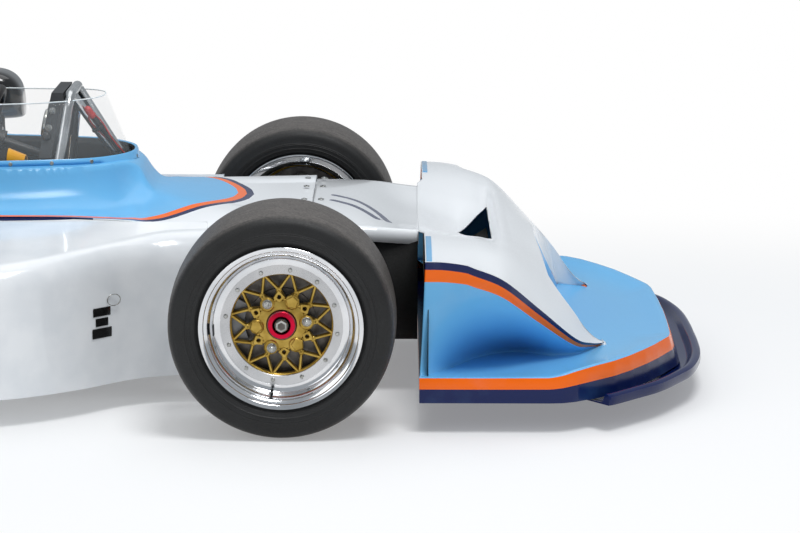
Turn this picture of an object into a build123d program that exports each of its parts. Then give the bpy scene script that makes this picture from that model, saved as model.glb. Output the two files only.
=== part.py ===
"""Open wheel single seater racing car of the 1970s, in millimetres.

+X is forward, +Y is the car's left, +Z is up.  The origin is on the ground,
under the middle of the car's length.
"""
import os
from math import atan2, cos, degrees, hypot, radians, sin

from build123d import *

os.makedirs("parts", exist_ok=True)

# Driving dimensions of the whole car
wheelbase = 2470
front_overhang = 950
rear_overhang = 800
front_x = (wheelbase + rear_overhang - front_overhang) / 2
rear_x = front_x - wheelbase
nose_half = 750
floor_z = 70

# Wheels: both axles carry 13 inch split rims
rim_flange_r = 181
bead_seat_r = 166
front_tyre_r = 252
rear_tyre_r = 290
front_wheel_y = 690
rear_wheel_y = 700
front_rim_half = 140
rear_rim_half = 190
face_depths = {front_x: 45, rear_x: 150}
bolt_ring_r = 134
lattice_r = 113
kingpin_inset = 20
ball_joint_rise = 95
brake_disc_r = 125

# Steering
rack_x = front_x + 95
rack_z = front_tyre_r
rack_travel = 30
arm_reach = 95
steering_wheel_x = front_x - 740
steering_wheel_z = 560
steering_wheel_r = 128

# Tub and body
tub_half = 355
footwell_half = 240
tub_top = 330
tub_front_x = front_x + 40
tub_rear_x = front_x - 1300
hoop_x = front_x - 1236
split_x = front_x + 50


def behind(distance):
    """Return the x position that lies this far behind the front axle."""
    return front_x - distance


def side_plane(side, x, y, z):
    """Return a plane through a wheel centre: local x radial, local y outboard."""
    return Plane(origin=(x, side * y, z), x_dir=(1, 0, 0), z_dir=(0, 0, side))


def bar(start, end, radius, mode=Mode.ADD):
    """Add a straight round bar to the part being built, or cut it out."""
    run = Vector(*end) - Vector(*start)
    with BuildSketch(Plane(origin=start, z_dir=run)) as profile:
        Circle(radius)
    extrude(profile.sketch, amount=run.length, mode=mode)


def bent_tube(points, bend, radius):
    """Add a round tube along straight runs joined by bends."""
    with BuildLine():
        route = FilletPolyline(*points, radius=bend)
    with BuildSketch(Plane(origin=route @ 0, z_dir=route % 0)) as profile:
        Circle(radius)
    sweep(profile.sketch, path=route)


def drum(centre, axis, radius, length, mode=Mode.ADD):
    """Add or cut a cylinder whose middle is at the centre, along the axis."""
    with BuildSketch(Plane(origin=centre, z_dir=axis)) as profile:
        Circle(radius)
    extrude(profile.sketch, amount=length / 2, both=True, mode=mode)


def block(centre, size, mode=Mode.ADD):
    """Add an upright box to the part being built, or cut it out."""
    with Locations(centre):
        Box(*size, mode=mode)


def caliper_block(x, side, disc_y, z):
    """Add a brake caliper that straddles the rear edge of a disc."""
    with BuildSketch(Plane(origin=(x, side * (disc_y - 30), z), x_dir=(1, 0, 0),
                           z_dir=(0, side, 0))) as profile:
        with BuildLine():
            CenterArc((0, 0), 138, 152, 56)
            CenterArc((0, 0), 82, 152, 56)
            Line(polar(138, 152), polar(82, 152))
            Line(polar(138, 208), polar(82, 208))
        make_face()
    extrude(profile.sketch, amount=60)
    drum((x, side * disc_y, z), (0, 1, 0), brake_disc_r + 6, 28, Mode.SUBTRACT)


def strut(start, end, width):
    """Add a straight web to the sketch being built."""
    turn = degrees(atan2(end[1] - start[1], end[0] - start[0]))
    middle = ((start[0] + end[0]) / 2, (start[1] + end[1]) / 2, 0)
    with Locations(Location(middle, (0, 0, turn))):
        Rectangle(hypot(end[0] - start[0], end[1] - start[1]) + width * 0.6, width)


def polar(radius, angle):
    """Return a sketch point at this radius and angle in degrees."""
    return (radius * cos(radians(angle)), radius * sin(radians(angle)))


def finish(piece, name):
    """Label a finished piece and write its STEP file."""
    piece.part.label = name
    export_step(piece.part, "parts/" + name + ".step")


# Wheels, one row for each corner:
# name, side, x, y, tyre radius, tread half width, rim half width
corners = (
    ("front_left", 1, front_x, front_wheel_y, front_tyre_r, 114, front_rim_half),
    ("front_right", -1, front_x, front_wheel_y, front_tyre_r, 114, front_rim_half),
    ("rear_left", 1, rear_x, rear_wheel_y, rear_tyre_r, 166, rear_rim_half),
    ("rear_right", -1, rear_x, rear_wheel_y, rear_tyre_r, 166, rear_rim_half),
)

for name, side, x, y, tyre_r, tread, rim_half in corners:
    centre = side_plane(side, x, y, tyre_r)
    spin = Axis((x, side * y, tyre_r), (0, 1, 0))
    bulge = rim_half + 5
    shoulder_r = tyre_r - 30

    # A slick tyre: crowned tread, round shoulders and full side walls
    with BuildPart() as tyre:
        with BuildSketch(centre):
            with BuildLine():
                ThreePointArc((tyre_r - 4, -tread), (tyre_r, 0), (tyre_r - 4, tread))
                ThreePointArc((tyre_r - 4, tread), (tyre_r - 14, (tread + bulge) / 2 + 5),
                              (shoulder_r, bulge - 3))
                ThreePointArc((shoulder_r, bulge - 3), (shoulder_r - 18, bulge),
                              (rim_flange_r + 3, rim_half - 5))
                Polyline((rim_flange_r + 3, rim_half - 5), (bead_seat_r + 2, rim_half - 14),
                         (bead_seat_r + 2, rim_half - 30), (shoulder_r, tread + 2),
                         (shoulder_r, -tread - 2), (bead_seat_r + 2, 30 - rim_half),
                         (bead_seat_r + 2, 14 - rim_half), (rim_flange_r + 3, 5 - rim_half))
                ThreePointArc((rim_flange_r + 3, 5 - rim_half), (shoulder_r - 18, -bulge),
                              (shoulder_r, 3 - bulge))
                ThreePointArc((shoulder_r, 3 - bulge), (tyre_r - 14, -(tread + bulge) / 2 - 5),
                              (tyre_r - 4, -tread))
            make_face()
        revolve(axis=spin)
    finish(tyre, "tyre_" + name)

    # A split rim: shallow stepped outer shell, deep inner shell, flat bolt flange
    face = rim_half - face_depths[x]
    shell_r = 144 if x == rear_x else 148
    with BuildPart() as rim:
        with BuildSketch(centre):
            with BuildLine():
                Polyline((rim_flange_r, rim_half), (rim_flange_r, rim_half - 5),
                         (bead_seat_r, rim_half - 10), (bead_seat_r, rim_half - 33),
                         (150, rim_half - 46), (150, 60 - rim_half),
                         (bead_seat_r, 42 - rim_half), (bead_seat_r, 10 - rim_half),
                         (rim_flange_r, 5 - rim_half), (rim_flange_r, -rim_half),
                         (175, -rim_half), (160, 14 - rim_half), (160, 44 - rim_half),
                         (144, 64 - rim_half), (144, face - 8), (lattice_r, face - 8),
                         (lattice_r, face), (bolt_ring_r, face), (shell_r, face + 5),
                         (shell_r, rim_half - 52), (155, rim_half - 29), (161, rim_half - 25),
                         (161, rim_half - 12), (169, rim_half - 6), (176, rim_half), close=True)
            make_face()
        revolve(axis=spin)
    finish(rim, "rim_" + name)

    # Lattice wheel centre: twelve V spokes, six bosses and six pierced diamonds
    back = Plane(origin=(x, side * (y + face - 26), tyre_r), x_dir=(-side, 0, 0),
                 z_dir=(0, side, 0))
    with BuildPart() as wheel_centre:
        with BuildSketch(back):
            for step in range(12):
                angle = 30 * step + 4
                vertex = polar(74, angle)
                strut(vertex, polar(lattice_r + 4, angle - 14.5), 6)
                strut(vertex, polar(lattice_r + 4, angle + 14.5), 6)
                strut(vertex, polar(56, angle + 10), 7)
                strut(vertex, polar(56, angle - 10), 7)
        extrude(amount=18)
        with BuildSketch(back):
            Circle(lattice_r + 15)
            Circle(lattice_r - 1, mode=Mode.SUBTRACT)
        extrude(amount=18)
        with BuildSketch(back):
            Circle(46)
            with PolarLocations(52, 6, start_angle=4):
                RegularPolygon(20, 5, rotation=0)
            with PolarLocations(62, 6, start_angle=34):
                RegularPolygon(13, 4)
                Circle(5, mode=Mode.SUBTRACT)
            Circle(16, mode=Mode.SUBTRACT)
        extrude(amount=23)
    finish(wheel_centre, "wheel_centre_" + name)

    # Hub with its stub axle, clamping ring, nut and brake disc
    hub_back = y + face - 27
    with BuildPart() as hub:
        drum((x, side * (hub_back - 6), tyre_r), (0, 1, 0), 52, 12)
        drum((x, side * (hub_back - 16), tyre_r), (0, 1, 0), 62, 12)
        drum((x, side * (hub_back - 24), tyre_r), (0, 1, 0), 74, 10)
        drum((x, side * (hub_back - 36), tyre_r), (0, 1, 0), brake_disc_r, 18)
        drum((x, side * (hub_back - 70), tyre_r), (0, 1, 0), 22, 60)
        drum((x, side * (hub_back + 12), tyre_r), (0, 1, 0), 14.5, 40)
        drum((x, side * (hub_back + 29), tyre_r), (0, 1, 0), 31, 7)
        drum((x, side * (hub_back + 37), tyre_r), (0, 1, 0), 13, 13)
        if x == rear_x:
            joint_y = hub_back - 168
            bar((x, side * 150, tyre_r), (x, side * joint_y, tyre_r), 14)
            drum((x, side * 172, tyre_r), (0, 1, 0), 40, 46)
            drum((x, side * joint_y, tyre_r), (0, 1, 0), 40, 46)
            bar((x, side * joint_y, tyre_r), (x, side * (hub_back - 90), tyre_r), 20)
    finish(hub, "hub_" + name)

# Front uprights: bearing barrel, ball joint pins, steering arm and caliper
kingpin_y = front_wheel_y - kingpin_inset
front_disc_y = front_wheel_y + front_rim_half - face_depths[front_x] - 63
for name, side in (("left", 1), ("right", -1)):
    barrel_end = front_disc_y - 14
    with BuildPart() as upright:
        with BuildSketch(Plane(origin=(front_x, side * (kingpin_y - 30), rack_z),
                               x_dir=(1, 0, 0), z_dir=(0, side, 0))):
            Circle(44)
            Polygon((-26, 78), (26, 78), (40, 10), (40, -10), (26, -78), (-26, -78),
                    (-40, -10), (-40, 10), align=None)
            Circle(24, mode=Mode.SUBTRACT)
        extrude(amount=barrel_end - kingpin_y + 30)
        for rise in (1, -1):
            bar((front_x, side * kingpin_y, rack_z + rise * 60),
                (front_x, side * kingpin_y, rack_z + rise * (ball_joint_rise + 14)), 7)
            drum((front_x, side * kingpin_y, rack_z + rise * (ball_joint_rise + 17)),
                 (0, 0, 1), 11, 7)
        with BuildSketch(Plane.XY.offset(rack_z - 22)):
            with BuildLine():
                Polyline((front_x + 20, side * (kingpin_y - 28)),
                         (front_x + arm_reach + 12, side * (kingpin_y - 12)),
                         (front_x + arm_reach + 12, side * (kingpin_y + 12)),
                         (front_x + 20, side * (kingpin_y + 22)), close=True)
            make_face()
        extrude(amount=10)
        bar((front_x + arm_reach, side * kingpin_y, rack_z - 14),
            (front_x + arm_reach, side * kingpin_y, rack_z + 12), 5)
        block((front_x - 70, side * (front_disc_y - 36), rack_z), (70, 12, 44))
    finish(upright, "front_upright_" + name)

    with BuildPart() as caliper:
        caliper_block(front_x, side, front_disc_y, rack_z)
    finish(caliper, "front_caliper_" + name)

# Steering wheel with its straight column down to the pinion
column_run = Vector(rack_x - 25 - steering_wheel_x, 0, rack_z + 25 - steering_wheel_z)
column_way = column_run.normalized()
wheel_plane = Plane(origin=(steering_wheel_x, 0, steering_wheel_z), x_dir=(0, 1, 0),
                    z_dir=column_way)
with BuildPart() as steering_wheel:
    with BuildSketch(wheel_plane * Plane.XZ):
        with Locations((steering_wheel_r - 12, 0)):
            Circle(12)
    revolve(axis=Axis((steering_wheel_x, 0, steering_wheel_z), tuple(column_way)))
    with BuildSketch(wheel_plane.offset(-4)):
        Circle(34)
        for angle in (0, 180, 270):
            strut(polar(20, angle), polar(steering_wheel_r - 14, angle), 26)
    extrude(amount=6)
    with BuildSketch(wheel_plane):
        Circle(11)
    extrude(amount=column_run.length)
    with BuildSketch(wheel_plane.offset(2)):
        Circle(26)
    extrude(amount=45)
finish(steering_wheel, "steering_wheel")

# Rack housing fixed to the front bulkhead, and the sliding rack with its rods
with BuildPart() as rack_housing:
    bar((rack_x, -190, rack_z), (rack_x, 190, rack_z), 21)
    for side in (1, -1):
        block((rack_x - 27, side * 120, rack_z), (56, 30, 44))
    bar((rack_x, -215, rack_z), (rack_x, 215, rack_z), 17)
    with BuildSketch(Plane.XZ.offset(-230)):
        with Locations((rack_x, rack_z)):
            Circle(13)
    extrude(amount=460, mode=Mode.SUBTRACT)
finish(rack_housing, "steering_rack")

with BuildPart() as track_rods:
    bar((rack_x, -270, rack_z), (rack_x, 270, rack_z), 11)
    for side in (1, -1):
        bar((rack_x, side * 262, rack_z), (rack_x, side * 290, rack_z), 16)
        bar((rack_x, side * 285, rack_z), (rack_x, side * (kingpin_y - 14), rack_z), 8)
        drum((rack_x, side * kingpin_y, rack_z), (0, 0, 1), 18, 14)
        with Locations((rack_x, side * kingpin_y, rack_z)):
            Cylinder(10.5, 20, mode=Mode.SUBTRACT)
finish(track_rods, "track_rods")

# Front wishbones: a tubular A with an eye round each ball joint pin
# columns: height of the eye, inner half width, inner height, leg feet behind the axle
front_arms = (
    (rack_z - ball_joint_rise, 255, 140, (-20, 215)),
    (rack_z + ball_joint_rise, 255, 315, (-20, 205)),
)
with BuildPart() as wishbones:
    for eye_z, foot_y, foot_z, feet in front_arms:
        for side in (1, -1):
            for foot in feet:
                bar((behind(foot), side * foot_y, foot_z),
                    (front_x, side * (kingpin_y - 10), eye_z), 9)
            drum((front_x, side * kingpin_y, eye_z), (0, 0, 1), 17, 22)
            with Locations((front_x, side * kingpin_y, eye_z)):
                Cylinder(8, 40, mode=Mode.SUBTRACT)
            for foot in feet:
                drum((behind(foot), side * foot_y, foot_z), (1, 0, 0), 15, 24)
finish(wishbones, "front_wishbones")

# Spring and damper units, one row each end:
# name, lower x, lower y, lower z, upper x, upper y, upper z, spring radius
damper_rows = (
    ("front_dampers", front_x - 84, 498, 174, front_x - 90, 256, 340, 28),
    ("rear_dampers", rear_x - 88, 468, 205, rear_x - 70, 205, 505, 36),
)
for name, low_x, low_y, low_z, high_x, high_y, high_z, spring_r in damper_rows:
    with BuildPart() as dampers:
        for side in (1, -1):
            low = Vector(low_x, side * low_y, low_z)
            high = Vector(high_x, side * high_y, high_z)
            run = high - low
            bar(tuple(low), tuple(high), 8)
            bar(tuple(low + run * 0.06), tuple(low + run * 0.5), 20)
            for turn in range(7):
                start = low + run * (0.2 + 0.1 * turn)
                bar(tuple(start), tuple(start + run * 0.055), spring_r)
            bar(tuple(low + run * 0.15), tuple(low + run * 0.9), spring_r - 6)
            drum(tuple(low), (1, 0, 0), 14, 26)
            drum(tuple(high), (1, 0, 0), 14, 26)
    finish(dampers, name)

# Tub: riveted sheet box with a narrow footwell and thick side tanks
outer_plan = ((tub_front_x, footwell_half), (behind(250), footwell_half),
              (behind(370), tub_half), (tub_rear_x, tub_half))
inner_plan = ((tub_front_x - 20, footwell_half - 30), (behind(260), footwell_half - 30),
              (behind(400), tub_half - 85), (tub_rear_x + 30, tub_half - 85))
with BuildPart() as monocoque:
    with BuildSketch(Plane.XY.offset(floor_z)):
        Polygon(*outer_plan, *[(px, -py) for px, py in reversed(outer_plan)], align=None)
    extrude(amount=tub_top - floor_z)
    with BuildSketch(Plane.XY.offset(floor_z + 18)):
        Polygon(*inner_plan, *[(px, -py) for px, py in reversed(inner_plan)], align=None)
    extrude(amount=tub_top, mode=Mode.SUBTRACT)
    with BuildSketch(Plane.YZ.offset(tub_front_x - 40)):
        with Locations((0, rack_z + 33)):
            Circle(24)
    extrude(amount=60, mode=Mode.SUBTRACT)
    with BuildSketch(Plane.YZ.offset(tub_rear_x)):
        with Locations((0, tub_top - 10)):
            Rectangle(2 * tub_half - 180, 210, align=(Align.CENTER, Align.MIN))
    extrude(amount=25)
finish(monocoque, "monocoque")

# Upper body from the nose split to the roll hoop, one row for each section:
# behind the axle, edge height, half width on top, height on top, sag of the flank
upper_rows = (
    (-50, 385, 270, 420, -8),
    (150, 385, 250, 425, -6),
    (300, 398, 190, 440, 4),
    (385, 410, 95, 530, 26),
    (500, 415, 205, 537, 22),
    (680, 415, 270, 545, 18),
    (950, 415, 292, 560, 16),
    (1290, 415, 296, 572, 16),
)
upper_half = 360
with BuildPart() as cockpit_surround:
    for wall in (0, 12):
        for distance, edge_z, top_half, top_z, sag in upper_rows:
            half = upper_half - wall
            rim_half = top_half - wall * 0.8
            middle = ((half + rim_half) / 2 - sag, (edge_z + top_z) / 2 - wall - sag)
            stretch = 0.5 * wall if distance < 0 else -0.5 * wall if distance > 1250 else 0
            with BuildSketch(Plane(origin=(behind(distance) + stretch, 0, 0),
                                   x_dir=(0, 1, 0), z_dir=(1, 0, 0))):
                with BuildLine():
                    Polyline((-half, edge_z - wall), (-half, tub_top + 1 - wall),
                             (half, tub_top + 1 - wall), (half, edge_z - wall))
                    ThreePointArc((half, edge_z - wall), middle, (rim_half, top_z - wall))
                    ThreePointArc((rim_half, top_z - wall), (0, top_z + 4 - wall),
                                  (-rim_half, top_z - wall))
                    ThreePointArc((-rim_half, top_z - wall), (-middle[0], middle[1]),
                                  (-half, edge_z - wall))
                make_face()
        loft(ruled=True, mode=Mode.SUBTRACT if wall else Mode.ADD)
    with BuildSketch(Plane.XY.offset(380)):
        with BuildLine():
            Polyline((behind(530), 188), (behind(800), 250), (behind(1262), 262),
                     (behind(1262), -262), (behind(800), -250), (behind(530), -188))
            ThreePointArc((behind(530), -188), (behind(394), 0), (behind(530), 188))
        make_face()
    extrude(amount=400, mode=Mode.SUBTRACT)
    block((behind(110), 0, 340), (340, 2 * upper_half + 10, 44), Mode.SUBTRACT)
finish(cockpit_surround, "cockpit_surround")

# Side bodies flaring out behind the front wheels, one row for each section:
# behind the axle, inner half width, shoulder half width and height, bottom half width
pod_rows = (
    (188, 361, 428, 386, 440),
    (285, 361, 440, 382, 455),
    (360, 361, 485, 374, 500),
    (470, 361, 592, 366, 612),
    (620, 361, 690, 352, 712),
    (850, 361, 730, 345, 748),
    (1300, 361, 730, 345, 748),
    (1340, 398, 730, 345, 748),
    (1700, 398, 730, 345, 748),
    (1930, 446, 640, 330, 655),
)
with BuildPart() as side_pods:
    for side in (1, -1):
        for distance, pod_inner, shoulder, shoulder_z, bottom in pod_rows:
            with BuildSketch(Plane(origin=(behind(distance), 0, 0), x_dir=(0, 1, 0),
                                   z_dir=(1, 0, 0))):
                with BuildLine():
                    Polyline((side * (shoulder - 25), shoulder_z + 6),
                             (side * pod_inner, 408), (side * pod_inner, floor_z),
                             (side * bottom, floor_z), (side * (shoulder + 14), shoulder_z - 40))
                    ThreePointArc((side * (shoulder + 14), shoulder_z - 40),
                                  (side * (shoulder + 4), shoulder_z - 8),
                                  (side * (shoulder - 25), shoulder_z + 6))
                make_face()
        loft(ruled=True)
    for side in (1, -1):
        with BuildSketch(Plane.XY.offset(135)):
            with Locations((behind(1110), side * 560)):
                Rectangle(330, 270)
        extrude(amount=400, mode=Mode.SUBTRACT)
        with BuildSketch(Plane.XY.offset(135)):
            Polygon((behind(950), side * 425), (behind(950), side * 695),
                    (behind(1700), side * 695), (behind(1950), side * 605),
                    (behind(1950), side * 480), (behind(1700), side * 425), align=None)
        extrude(amount=170, mode=Mode.SUBTRACT)
finish(side_pods, "side_pods")

# Radiator cores standing across the side bodies' ducts
with BuildPart() as radiators:
    for side in (1, -1):
        block((behind(1300), side * 560, 218), (40, 266, 140))
        block((behind(1300), side * 560, 293), (48, 266, 18))
        block((behind(1300), side * 560, 143), (48, 266, 16))
finish(radiators, "radiators")

# Nose, one row for each section of the full width hump:
# ahead of the axle, foot half width, crest half width, crest height, top, sag
hump_rows = (
    (305, 735, 749, 380, 398, 4),
    (355, 655, 749, 377, 396, 30),
    (421, 505, 744, 366, 390, 62),
    (490, 430, 715, 338, 372, 58),
    (573, 430, 620, 257, 334, 34),
    (657, 430, 520, 173, 262, 10),
    (734, 362, 374, 131, 150, 2),
)
# Deck behind the hump: ahead of the axle, half width, edge height, top height
deck_rows = ((51, 360, 385, 420), (200, 360, 383, 408), (330, 345, 372, 392))
# Saddle sunk in the middle: ahead of the axle, half width, rim height, floor
saddle_rows = (
    (195, 270, 432, 406),
    (310, 300, 402, 366),
    (400, 300, 402, 333),
    (470, 290, 400, 349),
    (493, 290, 400, 374),
)
blade_z = 125
# Notch in the middle of the front: height, then points ahead of the axle and across
notch_rows = (
    (blade_z, ((572, 0), (610, 170), (648, 320), (662, 390), (735, 366), (920, 366))),
    (330, ((581, 0), (587, 170), (583, 320), (617, 388), (735, 360), (920, 360))),
    (450, ((581, 0), (587, 170), (583, 320), (617, 388), (735, 360), (920, 360))),
)
with BuildPart() as nose:
    with BuildSketch(Plane.XY.offset(floor_z)):
        Polygon((front_x + 302, nose_half), (front_x + 607, nose_half), (front_x + 894, 290),
                (front_x + 894, -290), (front_x + 607, -nose_half),
                (front_x + 302, -nose_half), align=None)
    extrude(amount=blade_z - floor_z)
    for distance, foot, crest, crest_z, top_z, sag in hump_rows:
        with BuildSketch(Plane(origin=(front_x + distance, 0, 0), x_dir=(0, 1, 0),
                               z_dir=(1, 0, 0))):
            middle = ((foot + crest) / 2 - sag * 0.7, (blade_z - 20 + crest_z) / 2 + sag * 0.6)
            with BuildLine():
                Line((-foot, blade_z - 20), (foot, blade_z - 20))
                ThreePointArc((foot, blade_z - 20), middle, (crest, crest_z))
                ThreePointArc((crest, crest_z), (0, top_z), (-crest, crest_z))
                ThreePointArc((-crest, crest_z), (-middle[0], middle[1]),
                              (-foot, blade_z - 20))
            make_face()
    loft(ruled=True)
    for distance, half, edge_z, top_z in deck_rows:
        with BuildSketch(Plane(origin=(front_x + distance, 0, 0), x_dir=(0, 1, 0),
                               z_dir=(1, 0, 0))):
            with BuildLine():
                Polyline((-half, edge_z), (-half + 6, edge_z - 22), (half - 6, edge_z - 22),
                         (half, edge_z))
                ThreePointArc((half, edge_z), (half - 60, top_z - 4), (0, top_z))
                ThreePointArc((0, top_z), (60 - half, top_z - 4), (-half, edge_z))
            make_face()
    loft(ruled=True)
    for distance, half, rim_z, saddle_z in saddle_rows:
        with BuildSketch(Plane(origin=(front_x + distance, 0, 0), x_dir=(0, 1, 0),
                               z_dir=(1, 0, 0))):
            with BuildLine():
                ThreePointArc((-half, rim_z), (0, saddle_z), (half, rim_z))
                Polyline((half, rim_z), (half, 470), (-half, 470), (-half, rim_z))
            make_face()
    loft(ruled=True, mode=Mode.SUBTRACT)
    with BuildSketch(Plane.XY.offset(blade_z + 0)):
        Polygon((front_x + 300, 690), (front_x + 335, 610), (front_x + 385, 505),
                (front_x + 440, 400), (front_x + 440, -400), (front_x + 385, -505),
                (front_x + 335, -610), (front_x + 300, -690), align=None)
    extrude(amount=185, mode=Mode.SUBTRACT)
    for height, edge in notch_rows:
        with BuildSketch(Plane.XY.offset(height)):
            Polygon((front_x + edge[0][0], 0), *[(front_x + px, py) for px, py in edge[1:]],
                    *[(front_x + px, -py) for px, py in reversed(edge[1:])], align=None)
    loft(ruled=True, mode=Mode.SUBTRACT)
    with BuildSketch(Plane.XY.offset(250)):
        Polygon((front_x + 399, 0), (front_x + 474, 240), (front_x + 474, -240), align=None)
    extrude(amount=300, mode=Mode.SUBTRACT)
    for side in (1, -1):
        block((front_x + 308, side * 583, 383), (12, 325, 26))
finish(nose, "nose")

# Splitter lip wrapping round the front of the blade
with BuildPart() as splitter:
    with BuildSketch(Plane.XY.offset(58)):
        with BuildLine():
            Line((front_x + 620, 690), (front_x + 705, 668))
            ThreePointArc((front_x + 705, 668), (front_x + 850, 440), (front_x + 940, 230))
            ThreePointArc((front_x + 940, 230), (front_x + 950, 0), (front_x + 940, -230))
            ThreePointArc((front_x + 940, -230), (front_x + 850, -440),
                          (front_x + 705, -668))
            Polyline((front_x + 705, -668), (front_x + 620, -690), (front_x + 620, 690))
        make_face()
    extrude(amount=12)
    with BuildSketch(Plane.XY.offset(70)):
        with BuildLine():
            ThreePointArc((front_x + 705, 668), (front_x + 850, 440), (front_x + 940, 230))
            ThreePointArc((front_x + 940, 230), (front_x + 950, 0), (front_x + 940, -230))
            ThreePointArc((front_x + 940, -230), (front_x + 850, -440),
                          (front_x + 705, -668))
            Polyline((front_x + 705, -668), (front_x + 705, -640), (front_x + 912, -296),
                     (front_x + 912, 296), (front_x + 705, 640), (front_x + 705, 668))
        make_face()
    extrude(amount=20)
    with BuildSketch(Plane.XY.offset(70)):
        Polygon((front_x + 600, nose_half), (front_x + 607, nose_half), (front_x + 894, 290),
                (front_x + 894, -290), (front_x + 607, -nose_half),
                (front_x + 600, -nose_half), align=None)
    extrude(amount=40, mode=Mode.SUBTRACT)
finish(splitter, "nose_splitter")

# Windscreen: a thin clear wrap leaning back over the cockpit's front
# columns: height, tip behind the axle, shoulder behind the axle, its half, end half
screen_rows = ((522, 399, 530, 183, 244), (675, 449, 570, 145, 196))
with BuildPart() as windscreen:
    for wall in (0, 4):
        for height, tip, shoulder, shoulder_half, end_half in screen_rows:
            with BuildSketch(Plane.XY.offset(height + (wall if height > 600 else -wall))):
                with BuildLine():
                    Polyline((behind(shoulder), shoulder_half - wall),
                             (behind(800 + wall), end_half - wall),
                             (behind(800 + wall), wall - end_half),
                             (behind(shoulder), wall - shoulder_half))
                    ThreePointArc((behind(shoulder), wall - shoulder_half),
                                  (behind(tip + wall), 0),
                                  (behind(shoulder), shoulder_half - wall))
                make_face()
        loft(ruled=True, mode=Mode.SUBTRACT if wall else Mode.ADD)
finish(windscreen, "windscreen")

# Front hoop over the dash with its forward braces
hoop_foot_z = 100
with BuildPart() as front_hoop:
    bent_tube(((behind(568), -238, hoop_foot_z), (behind(560), -200, 430),
               (behind(525), -104, 670), (behind(525), 104, 670),
               (behind(560), 200, 430), (behind(568), 238, hoop_foot_z)), 45, 12.5)
    for side in (1, -1):
        bar((behind(519), side * 70, 664), (behind(408), side * 36, 496), 11)
        bar((behind(408), side * 36, 496), (behind(390), side * 256, 322), 11)
finish(front_hoop, "front_hoop")

# Dash: a shallow box that leans with the front hoop and closes its back
with BuildPart() as dash_panel:
    with BuildSketch(Plane.XZ.offset(-165)):
        Polygon((behind(596), 528), (behind(566), 528), (behind(540), 676),
                (behind(568), 676), align=None)
    extrude(amount=330)
    with BuildSketch(Plane.YZ.offset(behind(620))):
        for side in (1, -1):
            Polygon((side * 170, 520), (side * 160, 528), (side * 108, 676),
                    (side * 108, 690), (side * 170, 690), align=None)
    extrude(amount=100, mode=Mode.SUBTRACT)
finish(dash_panel, "dash_panel")

# Main roll hoop with two stays running back to the gearbox
with BuildPart() as main_hoop:
    bent_tube(((hoop_x, -236, 110), (hoop_x, -222, 600), (hoop_x, -150, 930),
               (hoop_x, 150, 930), (hoop_x, 222, 600), (hoop_x, 236, 110)), 90, 19)
    for side in (1, -1):
        bar((hoop_x, side * 135, 905), (behind(1868), side * 60, 674), 15)
        bar((behind(1868), side * 60, 655), (behind(1868), side * 60, 670), 8)
    bar((hoop_x, -200, 660), (hoop_x, 200, 660), 14)
finish(main_hoop, "main_roll_hoop")

# Seat: a reclined shell with raised sides
with BuildPart() as seat:
    with BuildSketch(Plane.XZ.offset(-225)):
        Polygon((behind(760), 150), (behind(1000), 100), (behind(1080), 120),
                (behind(1185), 590), (behind(1175), 593), (behind(1066), 132),
                (behind(996), 112), (behind(764), 161), align=None)
    extrude(amount=450)
    for side in (1, -1):
        with BuildSketch(Plane.XZ.offset(-side * 225 - 4)):
            Polygon((behind(760), 150), (behind(1000), 100), (behind(1080), 120),
                    (behind(1170), 520), (behind(1080), 480), (behind(1020), 300),
                    (behind(780), 240), align=None)
        extrude(amount=8)
finish(seat, "seat")

with BuildPart() as seat_pad:
    with BuildSketch(Plane.XZ.offset(-200)):
        Polygon((behind(1050), 145), (behind(1060), 140), (behind(1162), 580),
                (behind(1140), 585), align=None)
    extrude(amount=400)
finish(seat_pad, "seat_pad")

# Engine: in line four with twin cam covers, dry sump and front pulleys
engine_front = behind(1335)
engine_rear = behind(1860)
engine_mid = (engine_front + engine_rear) / 2
with BuildPart() as engine:
    block((engine_mid, 0, 250), (525, 250, 180))
    block((engine_mid, 0, 125), (500, 200, 90))
    block((engine_mid, 0, 400), (510, 170, 130))
    block((engine_mid, 0, 500), (520, 240, 80))
    for side in (1, -1):
        with BuildSketch(Plane.YZ.offset(engine_rear)):
            with Locations((side * 68, 548)):
                RectangleRounded(84, 60, 20)
        extrude(amount=525)
    with BuildSketch(Plane.YZ.offset(engine_front)):
        Polygon((-100, 540), (100, 540), (70, 180), (-70, 180), align=None)
    extrude(amount=22)
    drum((engine_front + 18, 0, 200), (1, 0, 0), 60, 24)
    for spot in range(4):
        drum((engine_rear + 75 + 125 * spot, 0, 520), (0, 0, 1), 16, 110)
    block((engine_rear - 8, 0, 595), (16, 180, 120))
finish(engine, "engine")

with BuildPart() as trumpets:
    for spot in range(4):
        x = engine_rear + 75 + 125 * spot
        with BuildSketch(Plane(origin=(x, -131, 504), z_dir=(0, -0.94, 0.34))) as bore:
            Circle(26)
        extrude(bore.sketch, amount=80)
        with BuildSketch(Plane(origin=(x, -196, 527), z_dir=(0, -0.94, 0.34))) as mouth:
            Circle(27)
        extrude(mouth.sketch, amount=55, taper=-14)
    block((engine_mid, -150, 540), (430, 24, 24))
finish(trumpets, "inlet_trumpets")

# Exhaust: four pipes joining a collector that runs back beside the gearbox
collector = (behind(1960), 190, 330)
with BuildPart() as exhaust:
    for spot in range(4):
        x = engine_rear + 75 + 125 * spot
        bent_tube(((x, 120.2, 490), (x, 175, 490), (x - 60, 225, 380 + 14 * spot),
                   (collector[0], 190, 350 + 8 * spot)), 30, 21)
    bar((collector[0] + 20, 190, 362), (behind(2110), 182, 400), 38)
    bent_tube(((behind(2100), 182, 398), (behind(2320), 134, 545), (behind(2700), 130, 555)),
              120, 29)
finish(exhaust, "exhaust")

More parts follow.
